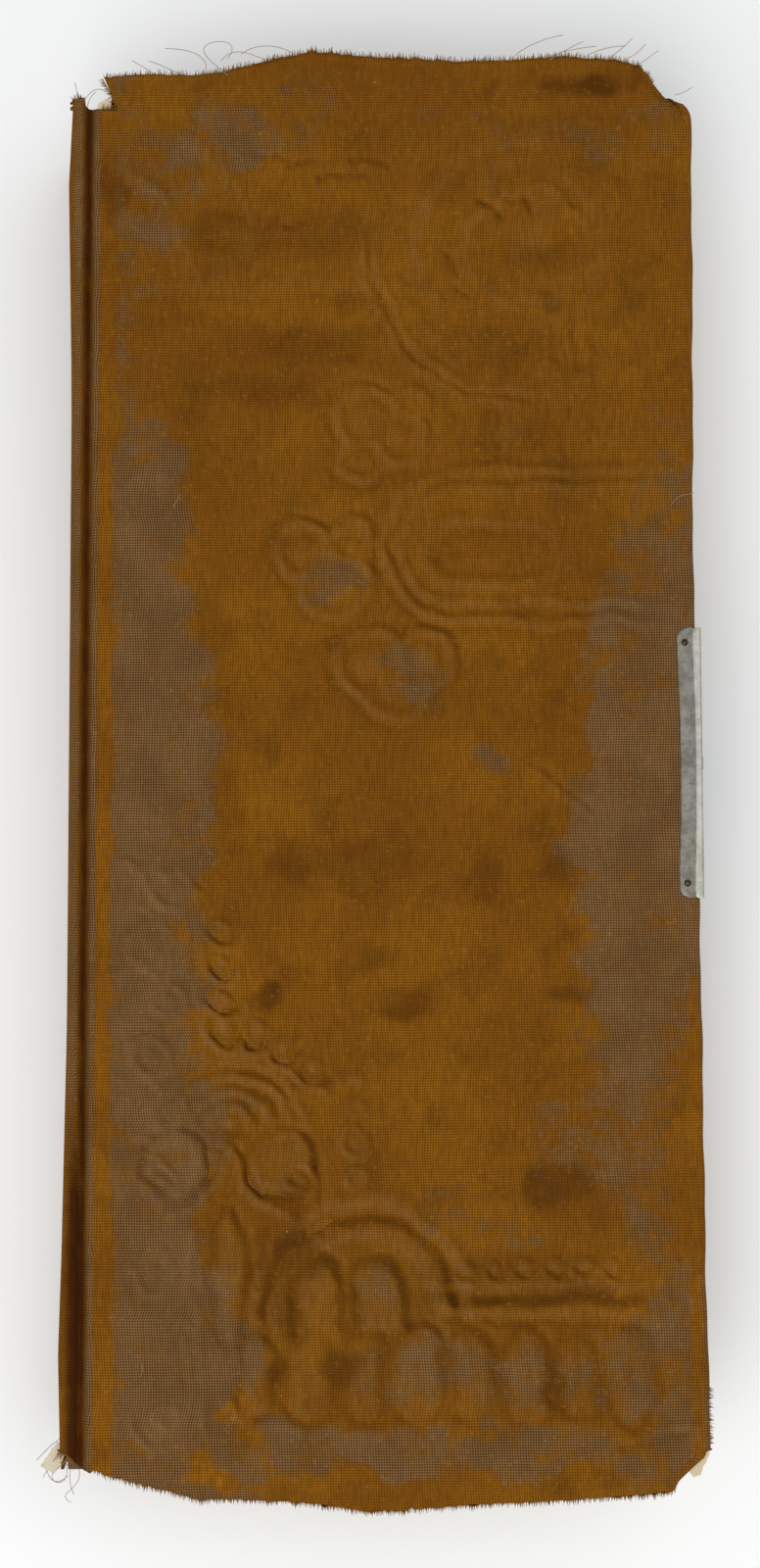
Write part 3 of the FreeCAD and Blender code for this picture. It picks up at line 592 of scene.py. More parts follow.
LEFT_REACH = ((-204, -150, -120, -80, -20, 30, 60, 100, 130, 160, 205),
              (-40, -52, -56, -57, -55, -53, -62, -66, -74, -75, -76))
LEFT_WORN = ((-204, -160, -110, -70, 0, 90, 112, 150, 180),
             (0.9, 0.85, 0.75, 0.85, 0.95, 0.9, 0.55, 0.4, 0.5))
RIGHT_REACH = ((-204, -150, -130, -95, -60, -20, 20, 60, 90, 140),
               (62, 66, 64, 58, 54, 54, 57, 62, 78, 86))
RIGHT_WORN = ((-204, -150, -110, -60, 0, 40, 75, 110, 204),
              (0.6, 0.55, 0.65, 0.85, 0.9, 0.85, 0.6, 0.3, 0.2))
WORN_SPOTS = (
    (-48, 193, 30, 10, 0.7), (-70, 175, 14, 24, 0.5), (-19, 58, 10, 8, 0.55), (4, 30, 12, 9, 0.55),
    (0, -197, 88, 7, 0.85), (-64, -176, 26, 34, 0.95), (30, -176, 50, 12, 0.48), (76, -170, 16, 30, 0.6),
    (82, 196, 10, 9, 0.45), (26, 4, 9, 6, 0.6), (60, 190, 16, 6, 0.4), (20, -135, 30, 10, 0.35),
    (-4, -150, 6, 12, 0.4), (72, 12, 14, 22, 0.75), (-30, 205, 14, 5, 0.4), (48, -110, 10, 18, 0.5),
    (-60, -100, 18, 20, 0.6), (20, 196, 40, 6, 0.3))
# Stains: each one's middle, half-sizes and strength. Most are real stains; the long rows at y -145 and -153
# are painted shade under the tail border's bead row and in its groove.
STAINS_AND_GROOVE_SHADE = (
    (-41, -66.6, 3.6, 4.2, 1.0), (4, -68, 10, 4, 0.65), (46, -122, 9, 6, 0.75), (52, -64, 8, 4, 0.55),
    (60, 210.5, 9, 4.5, 1.0), (47, 211, 5, 4, 0.7), (77, 210, 3, 3, 0.5), (-30, -26, 8, 6, 0.5),
    (25, -31, 8, 7, 0.45), (48, -30, 5, 5, 0.45), (-5, -24, 16, 5, 0.35), (-52, 22, 6, 5, 0.35),
    (-51, -4, 4, 14, 0.35), (-84, 178, 3, 12, 0.5), (-30, -145, 4, 22, 0.65), (-38, -150, 3, 16, 0.6),
    (-35, -172, 4, 6, 0.7), (-16, -172, 4, 6, 0.6), (44, -180, 5, 8, 0.5), (-12, 127, 40, 6, 0.35),
    (-40, 117, 20, 5, 0.4), (-60, 96, 8, 14, 0.35), (-55, 45, 6, 14, 0.35), (33, -145, 30, 5, 0.3),
    (45, -153, 26, 3, 0.5), (-54, 166, 6, 5, 0.35), (-30, 160, 24, 6, 0.3), (45, 155, 16, 6, 0.35))

left_reach = np.interp(grid_y, *LEFT_REACH) + 3.5 * drift_x
left_band = (1 - ease(grid_x, left_reach - 10, left_reach + 10)) * ease(grid_x, -86.6, -81.5)
right_reach = np.interp(grid_y, *RIGHT_REACH) + 3.5 * drift_y
right_band = ease(grid_x, right_reach - 10, right_reach + 8)
right_band *= 1 - 0.6 * ease(grid_x, 76, 84) * ease(-grid_y, 60, 90) * (1 - ease(-grid_y, 130, 150))
wear = np.max([left_band * np.interp(grid_y, *LEFT_WORN), right_band * np.interp(grid_y, *RIGHT_WORN),
               strongest(WORN_SPOTS)], axis=0)
wear = np.clip(wear + (patchy - 0.5) * 0.7 * (0.3 + wear), 0, 1)
shoulder_ridge = cord_line(grid_x + 95.1, 1.4) * (grid_z > 47) * (1 - 0.85 * ease(-grid_y, 80, 135))
ridges = cord_line(grid_x + 89.4, 1.5) + shoulder_ridge
wear = np.where(on_spine[:, None], np.clip(ridges * 0.95 + 0.2 * (patchy - 0.4), 0, 1), wear)

# Fresh colour where nothing rubs: beside the joint, at the cut ends and under the clasp.
beside_joint = 0.42 * cord_line(grid_x + 86.3, 1.3) * (0.3 + 1.2 * patchy) * (grid_y <= 203)
beside_joint *= 1 - 0.6 * ease(-grid_x, 84, 70)
fresh = np.max([
    beside_joint,
    0.8 * cord_line(grid_x + 84.6, 3.0) * ease(-grid_y, 120, 150) * patchy,
    0.75 * cord_line(grid_x - 88, 1.6) * (grid_y < -60) * patchy,
    strongest([(-52, -205.5, 10, 4, 0.9), (-46, -188, 6, 3.5, 0.6)]),
    strongest([(68, -150, 6, 10, 0.7), (-20, -207, 30, 3, 0.5)]) * patchy], axis=0)

# Painted shade, dark in the fold of the joint; also darker at the tail over the whole shoulder.
fold_shade = cord_line(grid_x + 92.1, 1.25) * (grid_z > 47)
tail_shoulder = 1.15 * cord_line(grid_x + 94.2, 2.5) * (grid_z > 44) * ease(-grid_y, 85, 135)
joint_shade_and_dark = np.clip(np.maximum(fold_shade, tail_shoulder) * on_spine[:, None] * (0.75 + 0.5 * patchy), 0, 1)
stain_and_groove_shade = np.clip(strongest(STAINS_AND_GROOVE_SHADE) * (0.55 + 0.9 * patchy), 0, 1)

depth = np.full((columns, rows), 0.95)
depth[:first_top] = 0.7
depth[first_joint + 3:first_joint + 14] = 0.5
keep_across = sorted({*range(0, len(turn_in_line), 3), *range(len(turn_in_line), first_top),
                      *range(first_top, first_joint, 6), *range(first_joint - 2, first_joint + 30),
                      *range(first_joint + 30, columns, 4), columns - 1})
keep_along = sorted({*range(0, TAIL_ROWS + 1, 2), *range(TAIL_ROWS, TAIL_ROWS + MAIN_ROWS, 7),
                     *range(TAIL_ROWS + MAIN_ROWS - 1, rows, 2), rows - 1})
front_velvet = cloth_mesh(
    "front_cover_velvet", np.stack([grid_x, grid_y, grid_z], axis=2), depth, keep_across, keep_along,
    {"wear": wear, "stain_and_groove_shade": stain_and_groove_shade, "fresh": fresh, "joint_shade_and_dark": joint_shade_and_dark,
     # The last attribute holds the painted shade and light of the relief.
     "relief_shading": np.where(on_top[:, None], np.clip(painted_relief_shading, -1.3, 1.3), 0)})


# ------------------------------------------------------------------ velvet finish
# Cotton velvet with a short cut pile in rows on a tan ground weave. Tufts stand in a
# square grid; where the pile is gone the dull grey-brown ground shows.
def shader_group(name, inputs, outputs):
    """An empty shader node group with its sockets, and its two ends."""
    group = bpy.data.node_groups.new(name, "ShaderNodeTree")
    for label, kind, value in inputs:
        socket = group.interface.new_socket(name=label, in_out="INPUT", socket_type=kind)
        if value is not None:
            socket.default_value = value
    for label, kind in outputs:
        group.interface.new_socket(name=label, in_out="OUTPUT", socket_type=kind)
    return group, group.nodes.new("NodeGroupInput"), group.nodes.new("NodeGroupOutput")


def math_node(tree, how, a, b=None, clamp=False):
    """One sum in a shader: a and b are sockets or numbers."""
    node = tree.nodes.new("ShaderNodeMath")
    node.operation, node.use_clamp = how, clamp
    for socket, value in zip(node.inputs, (a, b)):
        if isinstance(value, (int, float)):
            socket.default_value = value
        elif value is not None:
            tree.links.new(value, socket)
    return node.outputs[0]


def times(tree, a, b, clamp=False):
    return math_node(tree, "MULTIPLY", a, b, clamp)


def plus(tree, a, b):
    return math_node(tree, "ADD", a, b)


def minus(tree, a, b):
    return math_node(tree, "SUBTRACT", a, b)


def mix_colour(tree, share, first, second):
    """A colour between two, by a mask."""
    node = tree.nodes.new("ShaderNodeMix")
    node.data_type = "RGBA"
    for socket, value in ((node.inputs["Factor"], share), (node.inputs[6], first), (node.inputs[7], second)):
        if isinstance(value, tuple):
            socket.default_value = (*value, 1)
        else:
            tree.links.new(value, socket)
    return node.outputs[2]


def noise(tree, vector, scale, detail=3.0, rough=0.55):
    """A noise mask."""
    node = tree.nodes.new("ShaderNodeTexNoise")
    node.inputs["Scale"].default_value = scale
    node.inputs["Detail"].default_value = detail
    node.inputs["Roughness"].default_value = rough
    tree.links.new(vector, node.inputs["Vector"])
    return node.outputs["Fac"]


def step_mask(tree, value, low, high):
    """0 below low, 1 above high, smooth between them."""
    node = tree.nodes.new("ShaderNodeMapRange")
    node.interpolation_type = "SMOOTHSTEP"
    node.inputs["From Min"].default_value = low
    node.inputs["From Max"].default_value = high
    tree.links.new(value, node.inputs["Value"])
    return node.outputs["Result"]


def patches(tree, vector, scale, detail, low, high):
    """Soft-edged patches, where a noise is above a level."""
    return step_mask(tree, noise(tree, vector, scale, detail), low, high)


def stretched(tree, vector, along_book):
    """Coordinates stretched along the book, for streaks."""
    node = tree.nodes.new("ShaderNodeMapping")
    node.inputs["Scale"].default_value = (1.0, along_book, 1.0)
    tree.links.new(vector, node.inputs["Vector"])
    return node.outputs[0]


def bump_from(tree, height, distance):
    """A bump of a height mask, as a normal."""
    node = tree.nodes.new("ShaderNodeBump")
    node.inputs["Distance"].default_value = distance
    node.inputs["Strength"].default_value = 1.0
    tree.links.new(height, node.inputs["Height"])
    return node.outputs["Normal"]


def new_finish(name, roughness, metallic=0.0, specular=0.5, sheen=0.0, sheen_rough=0.5, sheen_tint=(1, 1, 1)):
    """A material, with the numbers that are the same all over it on the shader's own sockets.
    Returns it with its tree, its shader and Object coordinates."""
    finish = bpy.data.materials.new(name)
    finish.use_nodes = True
    tree = finish.node_tree
    shader = tree.nodes["Principled BSDF"]
    shader.inputs["Roughness"].default_value = roughness
    shader.inputs["Metallic"].default_value = metallic
    shader.inputs["Specular IOR Level"].default_value = specular
    shader.inputs["Sheen Weight"].default_value = sheen
    shader.inputs["Sheen Roughness"].default_value = sheen_rough
    shader.inputs["Sheen Tint"].default_value = (*sheen_tint, 1)
    return finish, tree, shader, tree.nodes.new("ShaderNodeTexCoord").outputs["Object"]


weave, ends_in, ends_out = shader_group(
    "ground_weave",
    [("Cloth", "NodeSocketVector", None), ("Pitch", "NodeSocketFloat", 0.78),
     ("Unevenness", "NodeSocketFloat", 0.5)],
    [("Tufts", "NodeSocketFloat"), ("Threads", "NodeSocketFloat")])
apart = weave.nodes.new("ShaderNodeSeparateXYZ")
weave.links.new(ends_in.outputs["Cloth"], apart.inputs[0])
turns = math_node(weave, "DIVIDE", 500 * 2 * math.pi, ends_in.outputs["Pitch"])
wobble = noise(weave, ends_in.outputs["Cloth"], 45.0, 2.0, 0.5)
shift = times(weave, wobble, times(weave, ends_in.outputs["Unevenness"], 9.0))
waves = [math_node(weave, "SINE", plus(weave, times(weave, apart.outputs[axis], turns), shift))
         for axis in ("X", "Y")]
for label, value, high in (("Tufts", plus(weave, *waves), 0.25), ("Threads", times(weave, *waves), 0.5)):
    weave.links.new(plus(weave, times(weave, value, high), 0.5), ends_out.inputs[label])


def woven(tree, vector, pitch, unevenness):
    """The ground weave on cloth coordinates, at a pitch in millimetres."""
    node = tree.nodes.new("ShaderNodeGroup")
    node.node_tree = weave
    node.inputs["Pitch"].default_value = pitch
    node.inputs["Unevenness"].default_value = unevenness
    tree.links.new(vector, node.inputs["Cloth"])
    return node.outputs


def velvet_finish(name):
    """Velvet: pile, bare ground weave, fresh colour, stains, rubbed ridges, and painted shade and light: on
    the relief, between the tufts and in the joint fold, with a few stains that are painted groove shade.
    """
    finish, tree, shader, place = new_finish(name, 0.95, specular=0.04, sheen=0.05, sheen_rough=0.45,
                                             sheen_tint=(0.8, 0.4, 0.08))
    uv = tree.nodes.new("ShaderNodeUVMap")
    uv.uv_map = "weave"
    tufts = woven(tree, uv.outputs["UV"], 0.78, 0.5)["Tufts"]

    def mask(label):
        node = tree.nodes.new("ShaderNodeAttribute")
        node.attribute_name = label
        return node.outputs["Fac"]

    fine = noise(tree, place, 620.0, 3.0, 0.7)
    streak = noise(tree, stretched(tree, place, 0.22), 900.0, 3.0, 0.6)
    relief_shading, fresh_mask = mask("relief_shading"), mask("fresh")
    pile = mix_colour(tree, patches(tree, place, 26.0, 4.0, 0.32, 0.68), (0.205, 0.074, 0.0050),
                      (0.262, 0.100, 0.0060))
    pile = mix_colour(tree, patches(tree, place, 75.0, 4.0, 0.5, 0.75), pile, (0.165, 0.062, 0.0045))
    ground = mix_colour(tree, patches(tree, place, 60.0, 4.0, 0.35, 0.65), (0.118, 0.055, 0.014),
                        (0.165, 0.083, 0.027))
    broken = plus(tree, noise(tree, place, 150.0, 6.0, 0.7), times(tree, fine, 0.45))
    rub = plus(tree, mask("wear"), times(tree, minus(tree, broken, 0.72), 1.7))
    # The mask of painted relief shade and light also adds to the rubbing where it is above 0.
    rub = minus(tree, plus(tree, rub, times(tree, relief_shading, 0.16)), fresh_mask)
    rubbed = step_mask(tree, rub, 0.26, 0.84)
    colour = mix_colour(tree, rubbed, pile, ground)
    bright = times(tree, fresh_mask, patches(tree, place, 300.0, 3.0, 0.35, 0.7), True)
    for share, tone in ((bright, (0.36, 0.125, 0.006)),
                        # Painted highlight on the relief's ridges and lit slopes, then painted shade in its
                        # grooves and on its far slopes.
                        (times(tree, relief_shading, 0.36, True), (0.30, 0.165, 0.055)),
                        (times(tree, relief_shading, -0.72, True), (0.062, 0.019, 0.002)),
                        # Stains; a few of them are painted shade in the tail border's groove and under its
                        # bead row.
                        (times(tree, mask("stain_and_groove_shade"), 0.72, True), (0.052, 0.0135, 0.0025))):
        colour = mix_colour(tree, share, colour, tone)
    # Painted light and shade: tufts are lighter on top and dark between, and the gaps of the bare weave are
    # painted dark; bare threads show pale dots.
    gaps = plus(tree, times(tree, tufts, 0.8), times(tree, streak, 0.7))
    unlit = minus(tree, 1.0, step_mask(tree, gaps, 0.42, 1.05))
    sunk = minus(tree, 1.0, step_mask(tree, tufts, 0.12, 0.5))
    dots = times(tree, step_mask(tree, tufts, 0.5, 0.85), rubbed)
    lint = patches(tree, place, 800.0, 1.0, 0.815, 0.84)
    for share, tone in ((times(tree, unlit, 0.72), (0.055, 0.019, 0.002)),
                        (times(tree, times(tree, sunk, rubbed), 0.45), (0.05, 0.022, 0.006)),
                        (times(tree, dots, 0.42), (0.31, 0.20, 0.105)),
                        (times(tree, step_mask(tree, fine, 0.56, 0.75), 0.35), (0.33, 0.15, 0.012)),
                        (times(tree, lint, 0.5), (0.50, 0.40, 0.27)),
                        # Painted shade in the joint fold, and the darker tail shoulder.
                        (times(tree, mask("joint_shade_and_dark"), 0.92, True), (0.033, 0.0075, 0.0018))):
        colour = mix_colour(tree, share, colour, tone)
    tree.links.new(colour, shader.inputs["Base Color"])
    height = plus(tree, times(tree, gaps, 0.9), times(tree, fine, 0.5))
    height = plus(tree, height, times(tree, noise(tree, place, 2200.0, 2.0, 0.7), 0.3))
    height = times(tree, height, minus(tree, 1.0, times(tree, rubbed, 0.45)))
    tree.links.new(bump_from(tree, height, 0.00028), shader.inputs["Normal"])
    return finish


velvet = velvet_finish("brown_velvet")
front_velvet.data.materials.append(velvet)
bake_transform(front_velvet)
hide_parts("front_velvet", "spine_velvet")


# ------------------------------------------------------------------ back velvet
# The same velvet on the back board: turned in on three sides and glued, plain but for a
# pressed double line. It meets the spine's cloth in the back joint.
back_low, back_high = box_mm("back_board")
BACK_INSIDE = back_high.z + 0.8       # velvet face of the turn-in
BACK_FACE = 0.05                      # just clear of the table
BACK_ROUND = 1.2                      # the cloth's bend round the board's edges
BACK_END = 203.0                      # middle of that bend at head and tail
BACK_REACH = BACK_END + BACK_ROUND
BACK_CORNER = 5.2
back_flap = [(x, BACK_INSIDE) for x in np.linspace(back_high.x - TURN_IN, back_high.x - 0.4, 6)]
back_fore = resample(
    round_turn((EDGE_X - BACK_ROUND, BACK_INSIDE - BACK_ROUND), BACK_ROUND, 90, 0)
    + round_turn((EDGE_X - BACK_ROUND, BACK_FACE + BACK_ROUND), BACK_ROUND, 0, -90), EDGE_STEP)
back_face = [(x, BACK_FACE) for x in np.linspace(EDGE_X - 2.4, back_low.x + 1.2, 86)]
back_joint = resample([(-89.0, 0.05), (-90.0, 0.35), (-90.9, 1.4), (-91.5, 2.1), (-92.2, 2.35), (-92.9, 2.0),
                       (-93.6, 1.1), (-94.5, 0.6), (-95.5, 0.9), (-96.4, 2.5)], 0.5)
back_columns = np.array(back_flap + back_fore + back_face + back_joint)
back_first = len(back_flap) + len(back_fore)
back_fixed = back_first + len(back_face)
count = len(back_columns)

# Rows, each a place, a height and how far in it is turned: the turn-in at the tail, round
# the tail edge, along the face, and the same again at the head.
wrap_rows = [(203.4 - inset, BACK_INSIDE, inset) for inset in (15, 12, 9, 6, 3, 1)]
wrap_rows += [(y, z, 0) for y, z in
              round_turn((BACK_END, BACK_INSIDE - BACK_ROUND), BACK_ROUND, 90, 0, 4)
              + round_turn((BACK_END, BACK_FACE + BACK_ROUND), BACK_ROUND, 0, -90, 4)]
wrap_count = len(wrap_rows)
face_rows = [(y, BACK_FACE, 0) for y in np.linspace(-201.8, 201.8, 176)]
back_y, back_z, back_in = np.array([(-y, z, inset) for y, z, inset in wrap_rows] + face_rows
                                   + wrap_rows[::-1]).T
bx = np.repeat(back_columns[:, :1], len(back_y), axis=1)
by = np.repeat(back_y[None, :], count, axis=0)
bz = np.repeat(back_columns[:, 1:2], len(back_y), axis=1)
face_like = (np.arange(count) >= back_first)[:, None]
bz = np.minimum(np.where(face_like, bz + (back_z - BACK_FACE)[None, :], bz), BACK_INSIDE)
wanted = np.repeat(back_in[None, :], count, axis=0)
inset = np.minimum(wanted, np.where(face_like, np.clip(EDGE_X - bx - 0.6, 0, None), 0.0))
by = np.where(wanted > 0, np.sign(by) * (203.4 - inset), by)
by = np.where(face_like, by, np.clip(by, -BACK_REACH, BACK_REACH))
# The fore-edge turn-in is mitred to the corners, and the corners are rounded.
mitre = EDGE_X - 0.8 - np.clip(BACK_REACH - np.abs(by), 0, None)
in_flap = (np.arange(count) < len(back_flap))[:, None]
bx = np.where(in_flap, np.maximum(bx, np.minimum(mitre, back_high.x - 0.3)), bx)
fore_corner = np.clip(np.abs(by) - 199.0, 0, BACK_CORNER)
bx -= ease(bx, 72, 88) * (BACK_CORNER - np.sqrt(BACK_CORNER ** 2 - fore_corner ** 2)) * 0.9
by = np.clip(by, -BACK_REACH, BACK_REACH)
frame_line = (cord_line(np.abs(bx) - 76, 1.2) * (np.abs(by) < 190)
              + cord_line(np.abs(by) - 190, 1.2) * (np.abs(bx) < 76)) * face_like
bz = bz + np.where(bz < 0.3, 0.28 * np.clip(frame_line, 0, 1), 0)

back_patchy = uneven(bx.shape, (24, 50), 21)
rub_edge = np.maximum(ease(np.abs(bx), 80, 89), ease(np.abs(by), 192, 203))
back_wear = np.clip(0.25 + 0.75 * rub_edge + (back_patchy - 0.5) * 0.9, 0, 1)
back_wear = np.where((bz > 4.9) & face_like, 0.2, back_wear)
# Painted shade in the fold of the back joint.
back_joint_shade = cord_line(bx + 92.2, 1.4) * (np.arange(count) >= back_fixed)[:, None]
keep_columns = {*range(0, back_first), *range(back_first, back_fixed, 5), *range(back_fixed - 1, count)}
keep_rows = {*range(0, wrap_count), *range(wrap_count, len(back_y) - wrap_count, 5),
             *range(len(back_y) - wrap_count, len(back_y))}
# The outer face looks down, so the columns are taken the other way round.
back_velvet = cloth_mesh(
    "back_cover_velvet", np.stack([bx, by, bz], axis=2)[::-1], np.full(bx.shape, 0.6),
    sorted(count - 1 - k for k in keep_columns), sorted(keep_rows),
    {"wear": back_wear[::-1], "stain_and_groove_shade": np.clip(back_patchy[::-1] - 0.7, 0, 1), "fresh": np.zeros(bx.shape),
     "joint_shade_and_dark": back_joint_shade[::-1], "relief_shading": np.zeros(bx.shape)})
back_velvet.data.materials.append(velvet)
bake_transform(back_velvet)
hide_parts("back_velvet")


# ------------------------------------------------------------------ frayed edges and threads
# Where the velvet was cut, its pile and warp ends stand out as a short fringe, and a few
# long threads have worked loose at head and tail.
def fibre_finish(name, roughness, specular, scale, first, second):
    """Loose fibre: one colour running into another."""
    finish, tree, shader, place = new_finish(name, roughness, specular=specular)
    tree.links.new(mix_colour(tree, noise(tree, place, scale), first, second), shader.inputs["Base Color"])
    return finish


fray_finish = fibre_finish("frayed_ends", 0.9, 0.1, 240.0, (0.11, 0.045, 0.008), (0.27, 0.135, 0.030))
thread_finish = fibre_finish("loose_threads", 0.8, 0.2, 90.0, (0.20, 0.14, 0.08), (0.36, 0.28, 0.18))

fringe_tree = bpy.data.node_groups.new("fringe_along_edge", "GeometryNodeTree")
for label, kind, value in (("Geometry", "Geometry", None), ("Spacing", "Float", 0.00035),
                           ("Length", "Float", 0.0014), ("Thickness", "Float", 0.00011),
                           ("Seed", "Int", 5), ("Finish", "Material", None)):
    socket = fringe_tree.interface.new_socket(name=label, in_out="INPUT", socket_type=f"NodeSocket{kind}")
    if value is not None:
        socket.default_value = value
fringe_tree.interface.new_socket(name="Geometry", in_out="OUTPUT", socket_type="NodeSocketGeometry")
given = fringe_tree.nodes.new("NodeGroupInput").outputs


def fringe_node(kind, links, values=None, **settings):
    """A node of the fringe's tree: its links and fixed values by input, then its settings."""
    node = fringe_tree.nodes.new(kind)
    for name, value in settings.items():
        setattr(node, name, value)
    for key, value in (values or {}).items():
        node.inputs[key].default_value = value
    for key, source in links.items():
        fringe_tree.links.new(source, node.inputs[key])
    return node.outputs


edge_curve = fringe_node("GeometryNodeMeshToCurve", {0: given["Geometry"]})[0]
roots = fringe_node("GeometryNodeCurveToPoints", {"Curve": edge_curve, "Length": given["Spacing"]},
                    mode="LENGTH")["Points"]
fibre = fringe_node("GeometryNodeMeshCone", {"Radius Bottom": given["Thickness"], "Depth": given["Length"]},
                    {"Vertices": 4, "Side Segments": 1, "Radius Top": 0.00003})["Mesh"]
lean_by = fringe_node("FunctionNodeRandomValue", {"Seed": given["Seed"]},
                      {0: (-0.35, -0.35, -0.35), 1: (0.35, 0.35, 0.35)}, data_type="FLOAT_VECTOR")[0]
long_by = fringe_node("FunctionNodeRandomValue", {"Seed": given["Seed"]},
                      {0: (0.8, 0.8, 0.6), 1: (1.2, 1.2, 1.25)}, data_type="FLOAT_VECTOR")[0]
outward = fringe_node("GeometryNodeInputNamedAttribute", {}, {"Name": "outward"},
                      data_type="FLOAT_VECTOR")["Attribute"]
leaning = fringe_node("ShaderNodeVectorMath", {0: outward, 1: lean_by})[0]
aimed = fringe_node("FunctionNodeAlignEulerToVector", {"Vector": leaning}, axis="Z")[0]
scattered = fringe_node("GeometryNodeInstanceOnPoints", {"Points": roots, "Instance": fibre,
                                                         "Rotation": aimed, "Scale": long_by})[0]
real = fringe_node("GeometryNodeRealizeInstances", {0: scattered})[0]
dressed = fringe_node("GeometryNodeSetMaterial", {"Geometry": real, "Material": given["Finish"]})[0]
fringe_node("NodeGroupOutput", {0: dressed})


def evaluated_mesh(piece):
    """A plain mesh of a piece as its modifiers or its curve make it."""
    bpy.context.view_layer.update()
    graph = bpy.context.evaluated_depsgraph_get()
    return bpy.data.meshes.new_from_object(piece.evaluated_get(graph), depsgraph=graph)


def plain_mesh(piece):
    """Turns a piece with live modifiers into a plain mesh."""
    made = evaluated_mesh(piece)
    piece.modifiers.clear()
    piece.data = made
    made.name = piece.name


def fringe(name, lines, body, spacing, length, thickness, seed):
    """A fringe of short fibres along edge lines. Each line is points and outward directions."""
    mesh = bpy.data.meshes.new(name)
    points, edges, away = [], [], []
    for line, direction in lines:
        start = len(points)
        points += [tuple(p) for p in line]
        away += [direction] * len(line)
        edges += [(start + k, start + k + 1) for k in range(len(line) - 1)]
    mesh.from_pydata(points, edges, [])
    store = mesh.attributes.new("outward", "FLOAT_VECTOR", "POINT")
    store.data.foreach_set("vector", np.array(away, np.float32).ravel())
    piece = bpy.data.objects.new(name, mesh)
    scene.collection.objects.link(piece)
    maker = piece.modifiers.new("fringe", "NODES")
    maker.node_group = fringe_tree
    sizes = {"Spacing": spacing, "Length": length, "Thickness": thickness, "Seed": seed,
             "Finish": fray_finish}
    for item in fringe_tree.interface.items_tree:
        if item.in_out == "INPUT" and item.name in sizes:
            maker[item.identifier] = sizes[item.name]
    plain_mesh(piece)
    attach(piece, body)
    return piece


def cut_edge(row, chosen, direction):
    """The front velvet's cut edge over some columns, part-way down its thickness."""
    edge = np.stack([grid_x[chosen, row], grid_y[chosen, row], grid_z[chosen, row] - 0.4], axis=1)
    return edge * MM, direction


top_columns = order[on_top]
joint_columns = order[first_joint + 14:first_joint + 26]
mitred_edge = np.array([(-82.9 - 0.52 * t, 202.2 + t, TOP_FACE - 0.4) for t in np.linspace(0, 9.5, 8)]) * MM
corner_edge = np.array([(91.3, y, 49.0) for y in np.linspace(-180, -196, 6)]) * MM
fringes = [
    fringe("head_fringe", [cut_edge(rows - 1, top_columns[column_x[on_top] > MITRE_X], (0, 1, 0)),
                           cut_edge(rows - 1, top_columns[column_x[on_top] <= MITRE_X], (0, 1, 0.3)),
                           (mitred_edge, (-1, -0.3, 0))], "front_cover", 0.00036, 0.0016, 0.00018, 5),
    fringe("tail_fringe", [cut_edge(0, top_columns, (0, -1, 0)), (corner_edge, (1, -0.2, 0.1))],
           "front_cover", 0.00036, 0.0014, 0.00018, 6),
    fringe("spine_head_fringe", [cut_edge(rows - 1, joint_columns, (-0.2, 1, 0.1))],
           "spine", 0.0002, 0.0018, 0.00011, 7),
    fringe("spine_tail_fringe", [cut_edge(0, joint_columns, (-0.5, -1, 0.1))],
           "spine", 0.0002, 0.0022, 0.00011, 8)]


def thread(name, body, level, strands, thick=0.10):
    """Loose threads: each a thin round fibre through a few points, with heights above a level."""
    data = bpy.data.curves.new(name, "CURVE")
    data.dimensions = "3D"
    data.resolution_u = 6
    data.bevel_depth = thick * MM
    data.bevel_resolution = 1
    data.use_fill_caps = True
    for strand in strands:
        spline = data.splines.new("NURBS")
        spline.points.add(len(strand) - 1)
        for point, (x, y, z) in zip(spline.points, strand):
            point.co = (x * MM, y * MM, (level + z) * MM, 1)
        spline.order_u = 4 if len(strand) > 3 else 3
        spline.use_endpoint_u = True
    made = bpy.data.objects.new(name, data)
    scene.collection.objects.link(made)
    mesh = evaluated_mesh(made)
    bpy.data.objects.remove(made)
    piece = bpy.data.objects.new(name, mesh)
    scene.collection.objects.link(piece)
    mesh.materials.clear()
    mesh.materials.append(thread_finish)
    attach(piece, body)
    return piece


